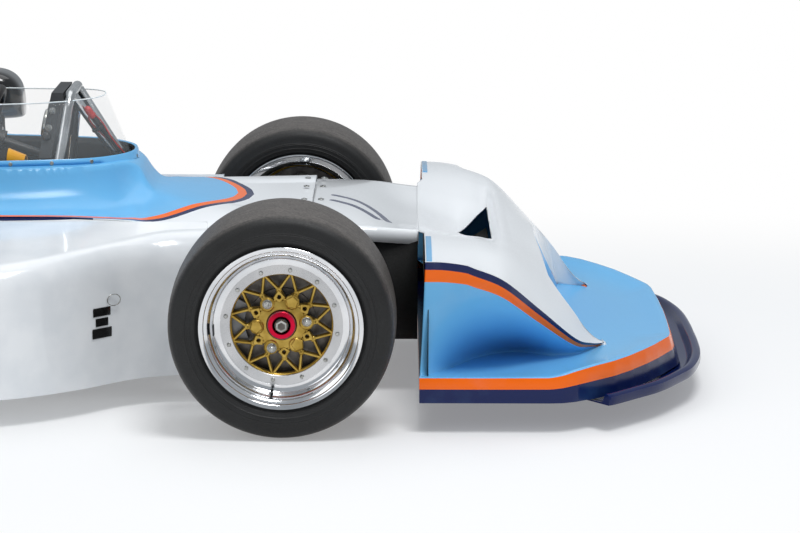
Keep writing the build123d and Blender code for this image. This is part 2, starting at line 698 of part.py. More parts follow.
# Gearbox: tapered bell housing, final drive cross barrel and rear gear case
with BuildPart() as gearbox:
    with BuildSketch(Plane.YZ.offset(engine_rear - 1)):
        with Locations((0, 275)):
            RectangleRounded(290, 300, 60)
    with BuildSketch(Plane.YZ.offset(rear_x + 130)):
        with Locations((0, 285)):
            RectangleRounded(190, 210, 40)
    loft(ruled=True)
    block((rear_x, 0, 290), (262, 180, 220))
    drum((rear_x, 0, rear_tyre_r), (0, 1, 0), 75, 290)
    block((rear_x - 235, 0, 285), (210, 160, 210))
    block((rear_x - 360, 0, 280), (45, 130, 170))
    for side in (1, -1):
        block((rear_x - 20, side * 62, 420), (200, 14, 60))
    block((rear_x - 70, 0, 470), (60, 400, 16))
    block((rear_x - 70, 0, 430), (50, 60, 80))
finish(gearbox, "gearbox")

# Engine cover: an arched shell behind the roll hoop
cover_rows = ((1264, 218, 590, 790), (1480, 205, 590, 745), (1700, 150, 590, 690))
with BuildPart() as engine_cover:
    for wall in (0, 8):
        for distance, half, low_z, top_z in cover_rows:
            with BuildSketch(Plane(origin=(behind(distance + (wall - 4) * 0.01), 0, 0),
                                   x_dir=(0, 1, 0), z_dir=(1, 0, 0))):
                with BuildLine():
                    Line((wall - half, low_z - wall), (half - wall, low_z - wall))
                    ThreePointArc((half - wall, low_z - wall),
                                  ((half - wall) * 0.72, (low_z + top_z) / 2 + 42 - wall),
                                  (0, top_z - wall))
                    ThreePointArc((0, top_z - wall),
                                  ((wall - half) * 0.72, (low_z + top_z) / 2 + 42 - wall),
                                  (wall - half, low_z - wall))
                make_face()
        loft(ruled=True, mode=Mode.SUBTRACT if wall else Mode.ADD)
finish(engine_cover, "engine_cover")

# Rear uprights with their calipers: the beams reach in to the links
rear_disc_y = rear_wheel_y + rear_rim_half - face_depths[rear_x] - 63
with BuildPart() as rear_uprights:
    for side in (1, -1):
        with BuildSketch(Plane(origin=(rear_x, side * (rear_disc_y - 82), rear_tyre_r),
                               x_dir=(1, 0, 0), z_dir=(0, side, 0))):
            Circle(52)
            Polygon((-56, -106), (56, -106), (30, 100), (-30, 100), align=None)
            Circle(26, mode=Mode.SUBTRACT)
        extrude(amount=64)
        block((rear_x, side * 546, rear_tyre_r - 98), (112, 100, 16))
        block((rear_x, side * 546, rear_tyre_r + 92), (96, 100, 16))
        block((rear_x - 62, side * (rear_disc_y - 36), rear_tyre_r), (80, 12, 44))
        caliper_block(rear_x, side, rear_disc_y, rear_tyre_r)
finish(rear_uprights, "rear_uprights")

# Rear links: lower parallel links, top link and forward radius rods each side
# columns: outer x, outer y, outer z, inner x, inner y, inner z
link_rows = (
    (rear_x + 36, 480, 192, rear_x + 60, 106, 200),
    (rear_x - 36, 480, 192, rear_x - 90, 106, 200),
    (rear_x, 480, 382, rear_x, 84, 435),
    (rear_x + 70, 505, 192, front_x - 1316, 292, 170),
    (rear_x + 62, 505, 382, front_x - 1316, 292, 300),
)
with BuildPart() as rear_links:
    for x1, y1, z1, x2, y2, z2 in link_rows:
        for side in (1, -1):
            bar((x1, side * y1, z1), (x2, side * y2, z2), 10)
            drum((x1, side * y1, z1), (1, 0, 0), 14, 24)
            drum((x2, side * y2, z2), (1, 0, 0), 14, 24)
finish(rear_links, "rear_links")

# Rear wing: cambered section across the car, end plates and pillar
wing_half = 550
wing_z = 830
wing_rear = rear_x - rear_overhang
with BuildPart() as rear_wing:
    with BuildSketch(Plane.XZ.offset(-wing_half + 6)):
        with BuildLine():
            ThreePointArc((wing_rear + 6, wing_z + 38), (wing_rear + 260, wing_z - 32),
                          (wing_rear + 450, wing_z - 14))
            ThreePointArc((wing_rear + 450, wing_z - 14), (wing_rear + 462, wing_z + 2),
                          (wing_rear + 448, wing_z + 16))
            ThreePointArc((wing_rear + 448, wing_z + 16), (wing_rear + 250, wing_z + 12),
                          (wing_rear + 6, wing_z + 48))
            Line((wing_rear + 6, wing_z + 48), (wing_rear + 6, wing_z + 38))
        make_face()
    extrude(amount=2 * wing_half - 12)
finish(rear_wing, "rear_wing")

with BuildPart() as end_plates:
    for side in (1, -1):
        with BuildSketch(Plane.XZ.offset(-side * (wing_half - 3) - 3)):
            Polygon((wing_rear, wing_z + 60), (wing_rear, wing_z - 130),
                    (wing_rear + 120, wing_z - 160), (wing_rear + 440, wing_z - 110),
                    (wing_rear + 500, wing_z + 10), (wing_rear + 470, wing_z + 50),
                    align=None)
        extrude(amount=6)
finish(end_plates, "wing_end_plates")

with BuildPart() as pillar:
    for side in (1, -1):
        with BuildSketch(Plane.XZ.offset(-side * 70 - 4)):
            with BuildLine():
                Polyline((wing_rear + 210, wing_z - 27.3), (rear_x - 300, 391),
                         (rear_x - 180, 391), (wing_rear + 400, wing_z - 24.7))
                ThreePointArc((wing_rear + 400, wing_z - 24.7),
                              (wing_rear + 305, wing_z - 33.2),
                              (wing_rear + 210, wing_z - 27.3))
            make_face()
        extrude(amount=8)
    block((rear_x - 240, 0, 396), (120, 148, 10))
finish(pillar, "wing_pillar")

# Mirrors on short stalks beside the cockpit
with BuildPart() as mirrors:
    for side in (1, -1):
        with BuildSketch(Plane.YZ.offset(behind(765))):
            with Locations((side * 385, 622)):
                RectangleRounded(160, 122, 38)
        extrude(amount=28)
        with BuildSketch(Plane.YZ.offset(behind(738))):
            with Locations((side * 385, 622)):
                RectangleRounded(158, 120, 37)
        extrude(amount=50, taper=26)
        bar((behind(748), side * 380, 590), (behind(735), side * 315, 490), 8)
finish(mirrors, "mirrors")

# Jacking bar with its towing eye at the back of the gearbox
with BuildPart() as jack_bar:
    bar((rear_x - 470, -150, 255), (rear_x - 470, 150, 255), 12.5)
    for side in (1, -1):
        bar((rear_x - 385.6, side * 45, 275), (rear_x - 470, side * 60, 255), 10)
    with BuildSketch(Plane.XZ.offset(-5)):
        with Locations((rear_x - 515, 255)):
            Circle(38)
        with Locations((rear_x - 515, 255)):
            Circle(25, mode=Mode.SUBTRACT)
        with Locations((rear_x - 470, 255)):
            Circle(12, mode=Mode.SUBTRACT)
    extrude(amount=10)
finish(jack_bar, "jack_bar")
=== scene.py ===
"""Looks of the open wheel racing car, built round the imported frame.

Every length is in metres in the row frame: +X forward, +Y to the car's left, +Z up.
"""
import logging
import math
from dataclasses import dataclass, field
from enum import Enum

import bmesh
import bpy
import numpy as np
from mathutils import Matrix


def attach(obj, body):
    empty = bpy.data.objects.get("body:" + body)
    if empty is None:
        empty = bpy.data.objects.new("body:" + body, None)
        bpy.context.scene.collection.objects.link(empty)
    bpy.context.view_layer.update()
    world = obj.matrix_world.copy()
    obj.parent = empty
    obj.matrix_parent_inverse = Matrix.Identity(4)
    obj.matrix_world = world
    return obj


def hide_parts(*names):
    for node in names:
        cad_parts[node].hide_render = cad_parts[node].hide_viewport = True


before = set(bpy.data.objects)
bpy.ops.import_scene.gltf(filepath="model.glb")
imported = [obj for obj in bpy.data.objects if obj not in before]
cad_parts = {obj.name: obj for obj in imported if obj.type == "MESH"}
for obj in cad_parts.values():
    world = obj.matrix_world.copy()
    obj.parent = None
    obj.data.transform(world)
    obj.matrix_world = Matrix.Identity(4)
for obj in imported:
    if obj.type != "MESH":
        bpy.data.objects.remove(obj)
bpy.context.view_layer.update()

log = logging.getLogger("racing_car")
Array = np.ndarray
Tree, Socket = bpy.types.NodeTree, bpy.types.NodeSocket

FRONT_X = 1.16
REAR_X = -1.31
BLADE_Z = 0.125
FLOOR_Z = 0.07
SIDES = (1.0, -1.0)


def linear(code: str) -> tuple[float, float, float, float]:
    """Turn an sRGB hex colour into linear red, green, blue and alpha.

    Args:
        code: six hex digits with a leading hash sign.

    Returns:
        The linear colour with an alpha of one.
    """
    parts = [int(code[k:k + 2], 16) / 255 for k in (1, 3, 5)]
    bright = [p / 12.92 if p <= 0.04045 else ((p + 0.055) / 1.055) ** 2.4 for p in parts]
    return (*bright, 1.0)


def add_node(tree: Tree, kind: str, inputs: dict | None = None,
             **settings: object) -> bpy.types.Node:
    """Add one shader node with its settings and its inputs.

    Args:
        tree: the node tree that takes it.
        kind: the node's Blender type.
        inputs: socket name or number to a value, or to an output that is linked.
        settings: attributes of the node itself.

    Returns:
        The new node.
    """
    new = tree.nodes.new(kind)
    for key, value in settings.items():
        setattr(new, key, value)
    for key, value in (inputs or {}).items():
        if isinstance(value, Socket):
            tree.links.new(value, new.inputs[key])
        else:
            new.inputs[key].default_value = value
    return new


def empty_tree(owner: bpy.types.ID) -> Tree:
    """Give a material or world a node tree without nodes.

    Args:
        owner: the material or world.

    Returns:
        Its empty node tree.
    """
    owner.use_nodes = True
    owner.node_tree.nodes.clear()
    return owner.node_tree


def link_object(name: str, data: bpy.types.ID) -> bpy.types.Object:
    """Put new object data into the scene under a name.

    Args:
        name: the object's name.
        data: its mesh, lamp or camera.

    Returns:
        The object.
    """
    piece = bpy.data.objects.new(name, data)
    bpy.context.scene.collection.objects.link(piece)
    return piece


def spline(a: Array, b: Array, c: Array, d: Array, t: Array) -> Array:
    """Catmull-Rom value between b and c.

    With neighbours a and d and t from 0 to 1, it is half of
    2b + (c - a)t + (2a - 5b + 4c - d)t^2 + (3b - a - 3c + d)t^3.

    Args:
        a: value before b.
        b: value at t = 0.
        c: value at t = 1.
        d: value after c.
        t: place between b and c.

    Returns:
        The value at t.
    """
    return 0.5 * (2 * b + (c - a) * t + (2 * a - 5 * b + 4 * c - d) * t ** 2
        + (3 * b - a - 3 * c + d) * t ** 3)


def smooth_rows(table: object, count: int) -> Array:
    """Interpolate rows of numbers with a Catmull-Rom spline through every row.

    Args:
        table: array whose first axis is the row.
        count: number of rows wanted.

    Returns:
        The finer table.
    """
    rows = np.asarray(table, float)
    padded = np.concatenate((2 * rows[:1] - rows[1:2], rows, 2 * rows[-1:] - rows[-2:-1]))
    place = np.linspace(0, len(rows) - 1, count)
    start = np.minimum(place.astype(int), len(rows) - 2)
    t = (place - start).reshape((-1,) + (1,) * (rows.ndim - 1))
    return spline(*(padded[start + k] for k in range(4)), t)


def table_at(rows: object, wanted: Array) -> Array:
    """Read a table at given places along its first column, with smooth curves between.

    Each interval is a cubic whose end slopes are the mean of the slopes beside it.

    Args:
        rows: table with a growing first column.
        wanted: places along that column.

    Returns:
        The other columns at those places, one row each.
    """
    data = np.asarray(rows, float)
    x, y = data[:, 0], data[:, 1:]
    slope = np.diff(y, axis=0) / np.diff(x)[:, None]
    ends = np.concatenate((slope[:1], (slope[1:] + slope[:-1]) / 2, slope[-1:]))
    k = np.clip(np.searchsorted(x, wanted, side="right") - 1, 0, len(x) - 2)
    span = (x[k + 1] - x[k])[:, None]
    t = np.clip((wanted - x[k])[:, None] / span, 0, 1)
    return ((2 * t ** 3 - 3 * t ** 2 + 1) * y[k] + (t ** 3 - 2 * t ** 2 + t) * span * ends[k]
            + (3 * t ** 2 - 2 * t ** 3) * y[k + 1] + (t ** 3 - t ** 2) * span * ends[k + 1])


def arc(start: tuple, middle: tuple, end: tuple, count: int) -> Array:
    """Quadratic curve: (1-t)^2 start + 2t(1-t) middle + t^2 end.

    Args:
        start: first point.
        middle: the point that the curve is pulled towards.
        end: last point.
        count: number of points.

    Returns:
        The points, one row each.
    """
    t = np.linspace(0, 1, count)[:, None]
    a, b, c = (np.asarray(p, float) for p in (start, middle, end))
    return (1 - t) ** 2 * a + 2 * t * (1 - t) * b + t ** 2 * c


def evenly(line: Array, count: int) -> Array:
    """Place points at equal steps along a line's plan.

    Args:
        line: rows of points, the plan in the first two columns.
        count: number of points wanted.

    Returns:
        The new points, one row each.
    """
    step = np.linalg.norm(np.diff(line[:, :2], axis=0), axis=1)
    run = np.concatenate(((0,), np.cumsum(step)))
    want = np.linspace(0, run[-1], count)
    return np.stack([np.interp(want, run, line[:, k]) for k in range(line.shape[1])], axis=1)


def ahead_of_axle(plan: Array, z: Array | float) -> Array:
    """Points in the row frame from a plan ahead of the front axle and heights."""
    return np.column_stack((plan + (FRONT_X, 0), np.broadcast_to(z, (len(plan),))))


def unit(vectors: Array) -> Array:
    """Scale vectors to length one along the last axis."""
    return vectors / np.maximum(np.linalg.norm(vectors, axis=-1, keepdims=True), 1e-12)


def left_of(line: Array) -> Array:
    """Unit normals to the left of a line in plan."""
    way = unit(np.gradient(line[:, :2], axis=0))
    return np.stack((-way[:, 1], way[:, 0]), axis=1)


def across(direction: Array) -> tuple[Array, Array]:
    """Two unit vectors square to a direction and to each other.

    Args:
        direction: a unit vector.

    Returns:
        The two vectors.
    """
    helper = np.eye(3)[int(np.argmin(np.abs(direction)))]
    first = unit(np.cross(direction, helper))
    return first, np.cross(direction, first)


def signed_distance(points: Array, loop: Array) -> Array:
    """Distance in the plane from points to a closed loop, negative inside it.

    The distance is the least over the loop's edges, and the sign comes from
    counting how often a ray along the first axis crosses the loop.

    Args:
        points: array of shape (n, 2).
        loop: corners of the loop, shape (m, 2).

    Returns:
        One distance for each point.
    """
    a, b = loop, np.roll(loop, -1, axis=0)
    edge = b - a
    gap = points[:, None, :] - a
    t = np.clip((gap * edge).sum(-1) / np.maximum((edge ** 2).sum(-1), 1e-12), 0, 1)
    far = np.linalg.norm(gap - t[..., None] * edge, axis=-1).min(1)
    rise = np.where(edge[:, 1] == 0, 1e-12, edge[:, 1])
    level = points[:, 1:2]
    hit = (a[:, 1] > level) != (b[:, 1] > level)
    reach = a[:, 0] + (level - a[:, 1]) / rise * edge[:, 0]
    inside = (hit & (reach > points[:, :1])).sum(1) % 2 == 1
    return np.where(inside, -far, far)


class Surface(Enum):
    """Ways that a surface was made, each with its own fine relief."""

    SPRAYED = "sprayed"
    BRUSHED = "brushed"
    CAST = "cast"
    TURNED = "turned"
    MOULDED = "moulded"
    RUBBER = "rubber"
    LEATHER = "leather"
    WOVEN = "woven"


@dataclass(frozen=True)
class Finish:
    """A material with its colour, shine and fine relief.

    The colour drifts between two hex values over patches a few centimetres
    wide. The relief is noise whose size is the real grain in millimetres.
    """

    name: str
    slot: str
    colour: str
    shade: str
    surface: Surface = Surface.SPRAYED
    metallic: float = 0.0
    roughness: float = 0.4
    spread: float = 0.08
    grain_mm: float = 3.0
    relief_mm: float = 0.05
    patch_mm: float = 90.0
    coat: float = 0.0
    mirror: float = 0.5
    sheen: float = 0.0
    stretch: tuple[float, float, float] = (1.0, 1.0, 1.0)
    cover: float = 1.0

    def material(self) -> bpy.types.Material:
        """Build the material once, or return the one already built.

        Returns:
            The material.
        """
        known = bpy.data.materials.get(self.name)
        if known:
            return known
        made = bpy.data.materials.new(self.name)
        tree = empty_tree(made)
        place = add_node(tree, "ShaderNodeTexCoord").outputs["Object"]
        colour = self.paint(tree, place)
        grain = self.relief(tree, place)
        rough = add_node(tree, "ShaderNodeMapRange", {0: grain, 1: 0.3, 2: 0.7,
            3: max(self.roughness - self.spread, 0.02), 4: self.roughness + self.spread})
        bump = add_node(tree, "ShaderNodeBump", {
            "Strength": 1.0, "Distance": self.relief_mm / 1000, "Height": grain})
        shader = add_node(tree, "ShaderNodeBsdfPrincipled", {"Base Color": colour,
            "Metallic": self.metallic, "Roughness": rough.outputs[0], "Normal": bump.outputs[0],
            "Coat Weight": self.coat, "Coat Roughness": 0.04, "Specular IOR Level": self.mirror,
            "Alpha": self.cover, "Sheen Weight": self.sheen})
        add_node(tree, "ShaderNodeOutputMaterial", {"Surface": shader.outputs[0]})
        made.diffuse_color = linear(self.colour)
        return made

    def paint(self, tree: Tree, place: Socket) -> Socket:
        """Mix the two colours over soft patches.

        Args:
            tree: the material's node tree.
            place: socket with the object's own coordinates.

        Returns:
            The colour socket.
        """
        patch = add_node(tree, "ShaderNodeTexNoise", {
            "Vector": place, "Scale": 1000 / self.patch_mm, "Detail": 4.0})
        ramp = add_node(tree, "ShaderNodeValToRGB", {0: patch.outputs[0]})
        ramp.color_ramp.elements[0].position = 0.35
        ramp.color_ramp.elements[0].color = linear(self.shade)
        ramp.color_ramp.elements[1].position = 0.62
        ramp.color_ramp.elements[1].color = linear(self.colour)
        return ramp.outputs[0]

    def relief(self, tree: Tree, place: Socket) -> Socket:
        """Height of the fine relief for the way the surface was made.

        Args:
            tree: the material's node tree.
            place: socket with the object's own coordinates.

        Returns:
            The height socket.
        """
        stretched = add_node(tree, "ShaderNodeMapping", {
            "Vector": place, "Scale": self.stretch}).outputs[0]
        size = 1000 / self.grain_mm
        if self.surface is Surface.LEATHER:
            return add_node(tree, "ShaderNodeTexVoronoi", {
                "Vector": stretched, "Scale": size}, feature="SMOOTH_F1").outputs[0]
        if self.surface is Surface.WOVEN:
            warp = add_node(tree, "ShaderNodeTexWave", {"Vector": stretched, "Scale": size / 6,
                "Distortion": 0.4}, bands_direction="Z")
            weft = add_node(tree, "ShaderNodeTexWave", {"Vector": stretched, "Scale": size / 6,
                "Distortion": 0.4}, bands_direction="Y")
            return add_node(tree, "ShaderNodeMath", {
                0: warp.outputs[1], 1: weft.outputs[1]}, operation="MULTIPLY").outputs[0]
        detail = 8.0 if self.surface in (Surface.CAST, Surface.RUBBER) else 2.0
        return add_node(tree, "ShaderNodeTexNoise", {
            "Vector": stretched, "Scale": size, "Detail": detail}).outputs[0]


@dataclass(frozen=True)
class BandedPaint(Finish):
    """Gloss paint in bands across a surface.

    The point attribute "across" holds the distance in metres from a painted
    line, and each band runs from its start to the start of the next.
    """

    bands: tuple[tuple[float, str], ...] = ()

    def paint(self, tree: Tree, place: Socket) -> Socket:
        """Colour by the attribute, with hard edges between the bands.

        Args:
            tree: the material's node tree.
            place: socket with the object's own coordinates.

        Returns:
            The colour socket.
        """
        low = self.bands[0][0]
        high = self.bands[-1][0] + 0.1
        value = add_node(tree, "ShaderNodeAttribute", attribute_name="across")
        part = add_node(tree, "ShaderNodeMapRange", {
            0: value.outputs["Fac"], 1: low, 2: high, 3: 0.0, 4: 1.0})
        ramp = add_node(tree, "ShaderNodeValToRGB", {0: part.outputs[0]})
        ramp.color_ramp.interpolation = "CONSTANT"
        stops = ramp.color_ramp.elements
        for index, (start, code) in enumerate(self.bands):
            spot = (start - low) / (high - low)
            stop = stops[index] if index < 2 else stops.new(spot)
            stop.position = spot
            stop.color = linear(code)
        dust = add_node(tree, "ShaderNodeTexNoise", {
            "Vector": place, "Scale": 1000 / self.patch_mm, "Detail": 5.0})
        amount = add_node(tree, "ShaderNodeMapRange", {
            0: dust.outputs[0], 1: 0.5, 2: 0.8, 3: 0.0, 4: 0.06})
        mixed = add_node(tree, "ShaderNodeMix", {0: amount.outputs[0], 6: ramp.outputs[0],
            7: linear(self.shade)}, data_type="RGBA")
        return mixed.outputs[2]


@dataclass(frozen=True)
class WornTyre(Finish):
    """Racing rubber: black side walls and a tread scrubbed to grey brown.

    The attribute "across" is 0 on the side walls and 1 on the tread. Streaks
    run round the tyre, drawn 4 mm wide so that they show.
    """

    tread: str = "#66615D"

    def paint(self, tree: Tree, place: Socket) -> Socket:
        """Mix side wall and tread colours, broken up by streaks and specks.

        Args:
            tree: the material's node tree.
            place: socket with the object's own coordinates.

        Returns:
            The colour socket.
        """
        wall = Finish.paint(self, tree, place)
        part = add_node(tree, "ShaderNodeAttribute", attribute_name="across")
        streak = add_node(tree, "ShaderNodeMapping", {
            "Vector": place, "Scale": (18.0, 260.0, 18.0)})
        lines = add_node(tree, "ShaderNodeTexNoise", {
            "Vector": streak.outputs[0], "Scale": 1.0, "Detail": 6.0})
        specks = add_node(tree, "ShaderNodeTexNoise", {
            "Vector": place, "Scale": 160.0, "Detail": 4.0})
        both = add_node(tree, "ShaderNodeMath", {
            0: lines.outputs[0], 1: specks.outputs[0]}, operation="ADD")
        worn = add_node(tree, "ShaderNodeMapRange", {
            0: both.outputs[0], 1: 0.75, 2: 1.2, 3: 0.25, 4: 1.0})
        amount = add_node(tree, "ShaderNodeMath", {
            0: worn.outputs[0], 1: part.outputs["Fac"]}, operation="MULTIPLY")
        mixed = add_node(tree, "ShaderNodeMix", {
            0: amount.outputs[0], 6: wall, 7: linear(self.tread)}, data_type="RGBA")
        return mixed.outputs[2]


WHITE = "#E9ECEF"
LIGHT_BLUE = "#6DB8EA"
ORANGE = "#FA6C02"
NAVY = "#061A50"

# Gloss two pack paint on glass fibre: faint orange peel, sharp reflections
PEEL = {"roughness": 0.22, "spread": 0.03, "grain_mm": 4.0, "relief_mm": 0.01}
WHITE_PAINT = Finish("white_gloss_paint_on_glass_fibre", "white_body_paint", WHITE, "#E0E4E8",
    coat=0.6, **PEEL)
BLUE_PAINT = Finish("light_blue_gloss_paint_on_glass_fibre", "light_blue_paint", LIGHT_BLUE,
    "#66B2E6", coat=0.7, **PEEL | {"roughness": 0.2})
NAVY_PAINT = Finish("navy_gloss_paint_on_glass_fibre", "navy_paint", NAVY, "#0A1A4C", mirror=0.3,
    **PEEL | {"roughness": 0.16, "spread": 0.04})
# Folded sheet, lightly brushed along its length
SHEET = Finish("folded_aluminium_sheet", "bare_aluminium_sheet", "#B9BCC0", "#A4A8AD",
    Surface.BRUSHED, metallic=1.0, roughness=0.36, grain_mm=1.2, relief_mm=0.01,
    stretch=(0.05, 1.0, 1.0))
# Spun and hand polished rim shells: bright, with faint turning marks
POLISHED = Finish("spun_polished_aluminium", "polished_rim_aluminium", "#E3E4E6", "#D2D4D7",
    Surface.TURNED, metallic=1.0, roughness=0.13, spread=0.05, grain_mm=1.6, relief_mm=0.006)
SATIN_RING = Finish("fine_turned_aluminium", "polished_rim_aluminium", "#CFCFD0", "#BEBFC1",
    Surface.TURNED, metallic=1.0, roughness=0.3, spread=0.06, grain_mm=0.9, relief_mm=0.008)
# Die cast lattice, sprayed gold over its skin
GOLD = Finish("gold_sprayed_casting", "gold_lattice_paint", "#C8A954", "#A88838", Surface.CAST,
    metallic=0.75, roughness=0.36, grain_mm=1.4, relief_mm=0.04, patch_mm=26.0)
RED_ANODISED = Finish("red_anodised_aluminium", "hub_steel", "#D8123C", "#B80A30", Surface.TURNED,
    metallic=0.85, roughness=0.25, grain_mm=0.8, relief_mm=0.006)
STEEL = Finish("plated_steel", "hub_steel", "#BDBEBC", "#94948F", Surface.TURNED, metallic=1.0,
    roughness=0.28, grain_mm=1.5, relief_mm=0.01, patch_mm=14.0)
DISC = Finish("ground_cast_iron", "hub_steel", "#7A7672", "#5E5955", Surface.TURNED, metallic=1.0,
    roughness=0.4, grain_mm=1.0, relief_mm=0.02, patch_mm=20.0)
TUBE = Finish("nickel_plated_steel_tube", "plated_steel_tube", "#D3D5D6", "#B9BBBC",
    Surface.BRUSHED, metallic=1.0, roughness=0.24, grain_mm=1.2, relief_mm=0.008)
MAGNESIUM = Finish("cast_magnesium", "cast_magnesium", "#6E6A5E", "#57534A", Surface.CAST,
    metallic=0.6, roughness=0.55, grain_mm=1.6, relief_mm=0.12, patch_mm=30.0)
CALIPER = Finish("machined_caliper_alloy", "caliper_alloy", "#8C8D8F", "#6F7073", Surface.CAST,
    metallic=0.9, roughness=0.42, grain_mm=1.2, relief_mm=0.04)
RUBBER = WornTyre("slick_racing_rubber", "slick_rubber", "#121314", "#0C0C0D", Surface.RUBBER,
    roughness=0.58, spread=0.12, grain_mm=2.5, relief_mm=0.12, patch_mm=45.0)
BLACK_GLOSS = Finish("black_gloss_moulding", "black_gloss_plastic", "#0D0E0F", "#141516",
    Surface.MOULDED, roughness=0.16, spread=0.04, grain_mm=3.0, relief_mm=0.008, coat=0.5)
DARK_PANEL = Finish("dark_grey_crackle_sheet", "dark_grey_panel", "#2E3033", "#25272A",
    Surface.MOULDED, roughness=0.55, grain_mm=1.0, relief_mm=0.06)
LEATHER = Finish("black_stitched_leather", "black_leather_grip", "#1A1918", "#121110",
    Surface.LEATHER, roughness=0.5, grain_mm=1.6, relief_mm=0.12)
SEAT_SHELL = Finish("black_glass_fibre_seat", "seat_moulding", "#1B1C1E", "#141517",
    Surface.MOULDED, roughness=0.42, grain_mm=6.0, relief_mm=0.05)
FABRIC = Finish("black_woven_seat_cloth", "seat_fabric", "#26272B", "#1B1C20", Surface.WOVEN,
    roughness=0.85, spread=0.05, grain_mm=2.2, relief_mm=0.25, sheen=0.25)
WEBBING = Finish("yellow_nylon_webbing", "seat_fabric", "#E8A81C", "#D79612", Surface.WOVEN,
    roughness=0.7, grain_mm=1.6, relief_mm=0.2, sheen=0.15)
CORE = Finish("matt_black_radiator_core", "radiator_core", "#222324", "#151616", Surface.CAST,
    metallic=0.4, roughness=0.6, grain_mm=1.5, relief_mm=0.1)
CASTING = Finish("sand_cast_engine_alloy", "engine_castings", "#9A9A94", "#7C7C77", Surface.CAST,
    metallic=0.8, roughness=0.5, grain_mm=1.8, relief_mm=0.15, patch_mm=40.0)
CAM_COVER = Finish("black_crackle_cam_cover", "engine_castings", "#1E1F21", "#151617",
    Surface.CAST, roughness=0.5, grain_mm=1.6, relief_mm=0.15)
HOT_STEEL = Finish("heat_stained_steel_pipe", "exhaust_steel", "#8A6F5A", "#5A5260",
    Surface.BRUSHED, metallic=1.0, roughness=0.38, grain_mm=1.5, relief_mm=0.02, patch_mm=120.0)
TRUMPET = Finish("spun_trumpet_alloy", "trumpet_alloy", "#D6D7D9", "#C3C5C8", Surface.TURNED,
    metallic=1.0, roughness=0.2, grain_mm=1.2, relief_mm=0.008)
SPRING = Finish("powder_coated_spring_steel", "spring_paint", "#E2DFD4", "#D2CEC1",
    Surface.SPRAYED, roughness=0.4, grain_mm=2.0, relief_mm=0.03)
# Near-black matt sheet: painted shade inside the nose vent, behind the coves, under the deck's
# sides and in the side body ducts; also the sheet inside the cockpit flange
DARK_SHEET_AND_SHADE = Finish("matt_black_sheet_and_painted_shade", "dark_grey_panel", "#0B0C0C", "#080909",
    Surface.MOULDED, roughness=0.8, grain_mm=2.0, relief_mm=0.05)
RED_HOSE = Finish("red_braided_sleeve", "dark_grey_panel", "#C01F1F", "#A01616", Surface.WOVEN,
    roughness=0.5, grain_mm=1.6, relief_mm=0.1)
WIRE = Finish("black_wire_insulation", "dark_grey_panel", "#151515", "#0F0F0F", Surface.MOULDED,
    roughness=0.45, grain_mm=1.0, relief_mm=0.02)
GAUGE_FACE = Finish("matt_dial_face", "dark_grey_panel", "#101112", "#0B0B0C", Surface.MOULDED,
    roughness=0.5, grain_mm=1.0, relief_mm=0.01)
MIRROR_GLASS = Finish("silvered_mirror_glass", "black_gloss_plastic", "#F2F4F5", "#EAEDEE",
    Surface.TURNED, metallic=1.0, roughness=0.04, spread=0.01, grain_mm=4.0, relief_mm=0.001)
# Cast acrylic sheet: nearly invisible face on. Its edges are pale opaque tubes, a painted
# highlight where light catches the edge; the same white prints the dial marks
ACRYLIC = Finish("clear_acrylic_sheet", "clear_sheet", "#EEF4F7", "#E8F0F4", Surface.MOULDED,
    roughness=0.06, spread=0.01, grain_mm=8.0, relief_mm=0.002, cover=0.055)
EDGE_HIGHLIGHT_AND_DIAL_WHITE = Finish("painted_edge_highlight_and_dial_white", "clear_sheet", "#F2F7F8", "#E3ECEF", Surface.MOULDED,
    roughness=0.3, grain_mm=3.0, relief_mm=0.01)
NOSE_BANDS = BandedPaint("white_navy_orange_blue_nose_paint", "white_body_paint", WHITE,
    "#DADDE0", mirror=0.3, **PEEL, bands=((-0.3, WHITE), (0.0, NAVY), (0.018, ORANGE),
    (0.045, LIGHT_BLUE)))
BLADE_BANDS = BandedPaint("light_blue_orange_navy_blade_paint", "light_blue_paint", LIGHT_BLUE,
    "#86C2EA", mirror=0.3, **PEEL | {"roughness": 0.2}, bands=((-0.5, LIGHT_BLUE), (0.0, ORANGE),
    (0.025, NAVY)))
DECK_BANDS = BandedPaint("light_blue_loop_on_white_paint", "light_blue_paint", LIGHT_BLUE,
    "#DADDE0", mirror=0.35, **PEEL, bands=((-1.0, LIGHT_BLUE), (-0.038, ORANGE), (-0.017, NAVY),
    (0.0, WHITE)))
NOSE_DECK_BANDS = BandedPaint("white_paint_with_navy_strokes", "white_body_paint", WHITE,
    "#DADDE0", coat=0.6, **PEEL, bands=((-1.0, NAVY), (0.0, WHITE)))


